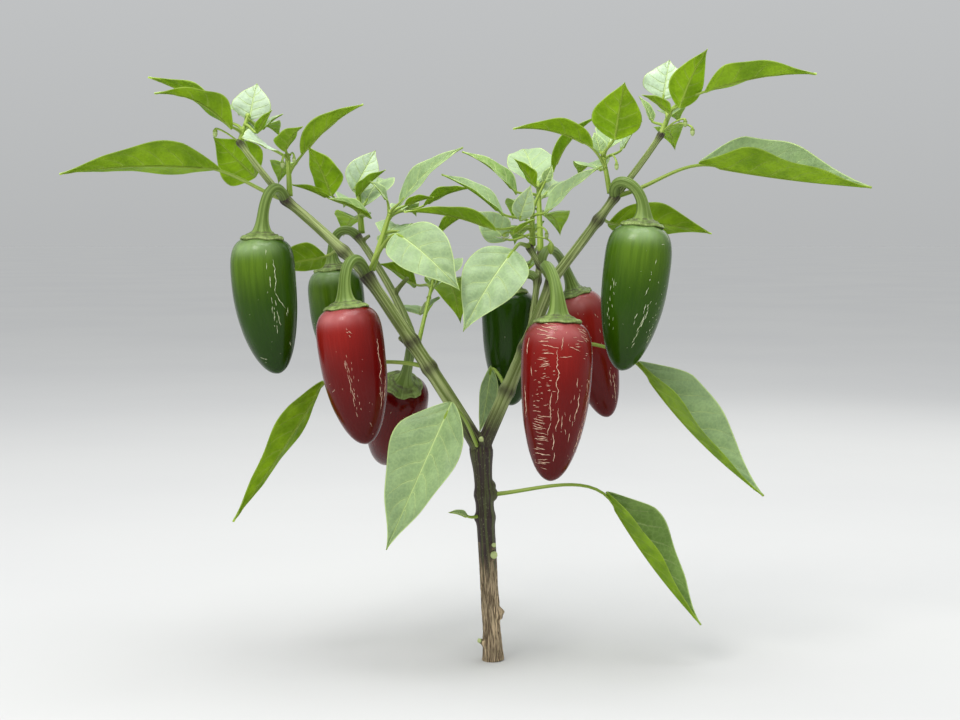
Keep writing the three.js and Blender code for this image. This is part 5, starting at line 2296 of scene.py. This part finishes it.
FINISHES = (
    # The upper face's pale colour is a painted reflection of the sky.
    LeafFinish(
        "leaf_upper", (0.14, 0.27, 0.02), (0.2, 0.34, 0.045), (0.56, 0.71, 0.5),
        (0.58, 0.74, 0.28), painted_reflection_share=1.0, vein_share=0.8, rough=0.46, relief=-0.00028, gloss=0.4,
    ),
    # Underside: bright yellow-green, partly its own colour, partly painted light through the leaf.
    LeafFinish(
        "leaf_underside", (0.19, 0.36, 0.002), (0.28, 0.48, 0.006), (0.4, 0.56, 0.12),
        (0.48, 0.64, 0.12), painted_reflection_share=0.15, vein_share=0.5, rough=0.52, relief=0.00025, gloss=0.1,
    ),
    StemFinish(
        "stem_skin", (0.17, 0.23, 0.05), (0.54, 0.62, 0.27), (0.042, 0.025, 0.025),
        (0.7, 0.54, 0.34), (0.16, 0.11, 0.065),
    ),
    StemFinish(
        "fresh_stem", (0.21, 0.34, 0.03), (0.46, 0.58, 0.13), (0.06, 0.07, 0.02),
        (0.38, 0.55, 0.05), (0.32, 0.48, 0.03), rough=0.42, relief=0.0001,
    ),
    StemFinish(
        "stalk_skin", (0.11, 0.18, 0.025), (0.27, 0.38, 0.1), (0.05, 0.045, 0.02),
        (0.5, 0.62, 0.24), (0.3, 0.4, 0.12), rough=0.45, relief=0.0003,
    ),
    # Pepper skins: deep colour, body, painted shoulder light, and painted sheen.
    PepperFinish(
        "green_pepper_skin", (0.012, 0.042, 0.001), (0.036, 0.1, 0.0015), (0.15, 0.27, 0.015),
        (0.52, 0.7, 0.38), streaks=0.55,
    ),
    PepperFinish(
        "red_pepper_skin", (0.065, 0.0015, 0.0015), (0.175, 0.0025, 0.0018), (0.38, 0.02, 0.014),
        (0.78, 0.34, 0.34), streaks=0.15,
    ),
    PlainFinish("pale_green_cork", (0.8, 0.84, 0.58), (0.62, 0.7, 0.4), 0.6, 300.0),
    PlainFinish("cream_cork", (0.9, 0.66, 0.48), (0.72, 0.44, 0.3), 0.6, 300.0),
    PlainFinish("bud_skin", (0.5, 0.6, 0.25), (0.36, 0.48, 0.14), 0.5, 400.0),
    PlainFinish("petal", (0.8, 0.82, 0.74), (0.72, 0.76, 0.6), 0.5, 300.0),
    PlainFinish("floor_paper", (0.61, 0.61, 0.6), (0.59, 0.59, 0.585), 0.95, 2.0),
)


def place_piece(piece: Thing, nodes: Sequence[str]) -> None:
    """Let a piece ride on the plant and stand for its CAD nodes.

    Args:
        piece: the finished piece.
        nodes: CAD nodes that it replaces.
    """
    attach(piece, BODY)
    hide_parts(*nodes)
    piece.data.calc_loop_triangles()
    log.info("%s: %d triangles", piece.name, len(piece.data.loop_triangles))


def build_foliage(blade_finishes: Sequence[Material], stem_finish: Material) -> None:
    """Make all leaves, petioles and shoots.

    Args:
        blade_finishes: upper face and underside.
        stem_finish: finish of petioles and shoots.
    """
    foliage = Foliage()
    blades = Skin("leaf_blades")
    stalks = Skin("leaf_stalks")
    for leaf in SINGLE_LEAVES.values():
        start = limb_curve(leaf.on).point(leaf.at)
        foliage.add_leaf(blades, stalks, leaf, start, PETIOLE_RADIUS)
    place_piece(blades.build(blade_finishes), list(SINGLE_LEAVES))
    place_piece(stalks.build([stem_finish]), list(SINGLE_LEAVES))
    room = Room()
    twigs = Skin("foliage_twigs")
    shares = np.linspace(0, 1, 14)
    for name, mass in FOLIAGE.items():
        shoot = bowed(mass.start, mass.top)
        add_tube(twigs, shoot.at(shares), mass.radius * (1.1 - 0.4 * shares), 10, tone=0.7)
        blades = Skin(name + "_blades")
        grown = room.grow_filler(shoot, mass.filler)
        for leaf in (*mass.leaves, *grown):
            foliage.add_leaf(blades, twigs, leaf, shoot.point(leaf.at), SHOOT_LEAF_PETIOLE)
        place_piece(blades.build(blade_finishes), [name])
        log.info("%s: %d leaves, %d of them fillers", name, len(mass.leaves) + len(grown), len(grown))
    place_piece(twigs.build([stem_finish]), list(FOLIAGE))


def build_peppers(finishes: dict[str, Material]) -> None:
    """Make the fruit, their corky marks, and their stalks.

    Args:
        finishes: all materials by name.
    """
    work = PepperWork()
    for build, piece, looks in (
        (work.build_fruit, "peppers", ("green_pepper_skin", "red_pepper_skin")),
        (work.build_marks, "pepper_cork", ("pale_green_cork", "cream_cork")),
    ):
        for kind, look in zip(Ripeness, looks):
            names = kind.names()
            made = build(names, f"{kind.value}_{piece}", finishes[look])
            place_piece(made, names)
    place_piece(work.build_stalks(finishes["stalk_skin"]), list(PEPPERS))


def main() -> None:
    """Build the plant piece by piece and light it."""
    logging.basicConfig(level=logging.INFO, format="%(message)s")
    make_effects()
    finishes = {finish.name: finish.make() for finish in FINISHES}
    fresh = finishes["fresh_stem"]
    place_piece(StemWork().build(finishes["stem_skin"]), list(LIMBS))
    build_peppers(finishes)
    build_foliage([finishes["leaf_upper"], finishes["leaf_underside"]], fresh)
    blooms = BloomWork().build([fresh, finishes["bud_skin"], finishes["petal"]])
    place_piece(blooms, ["foliage_centre"])
    Studio().build(finishes["floor_paper"])
    log.info("made %d materials", len(bpy.data.materials))


if __name__ == "__main__":
    main()
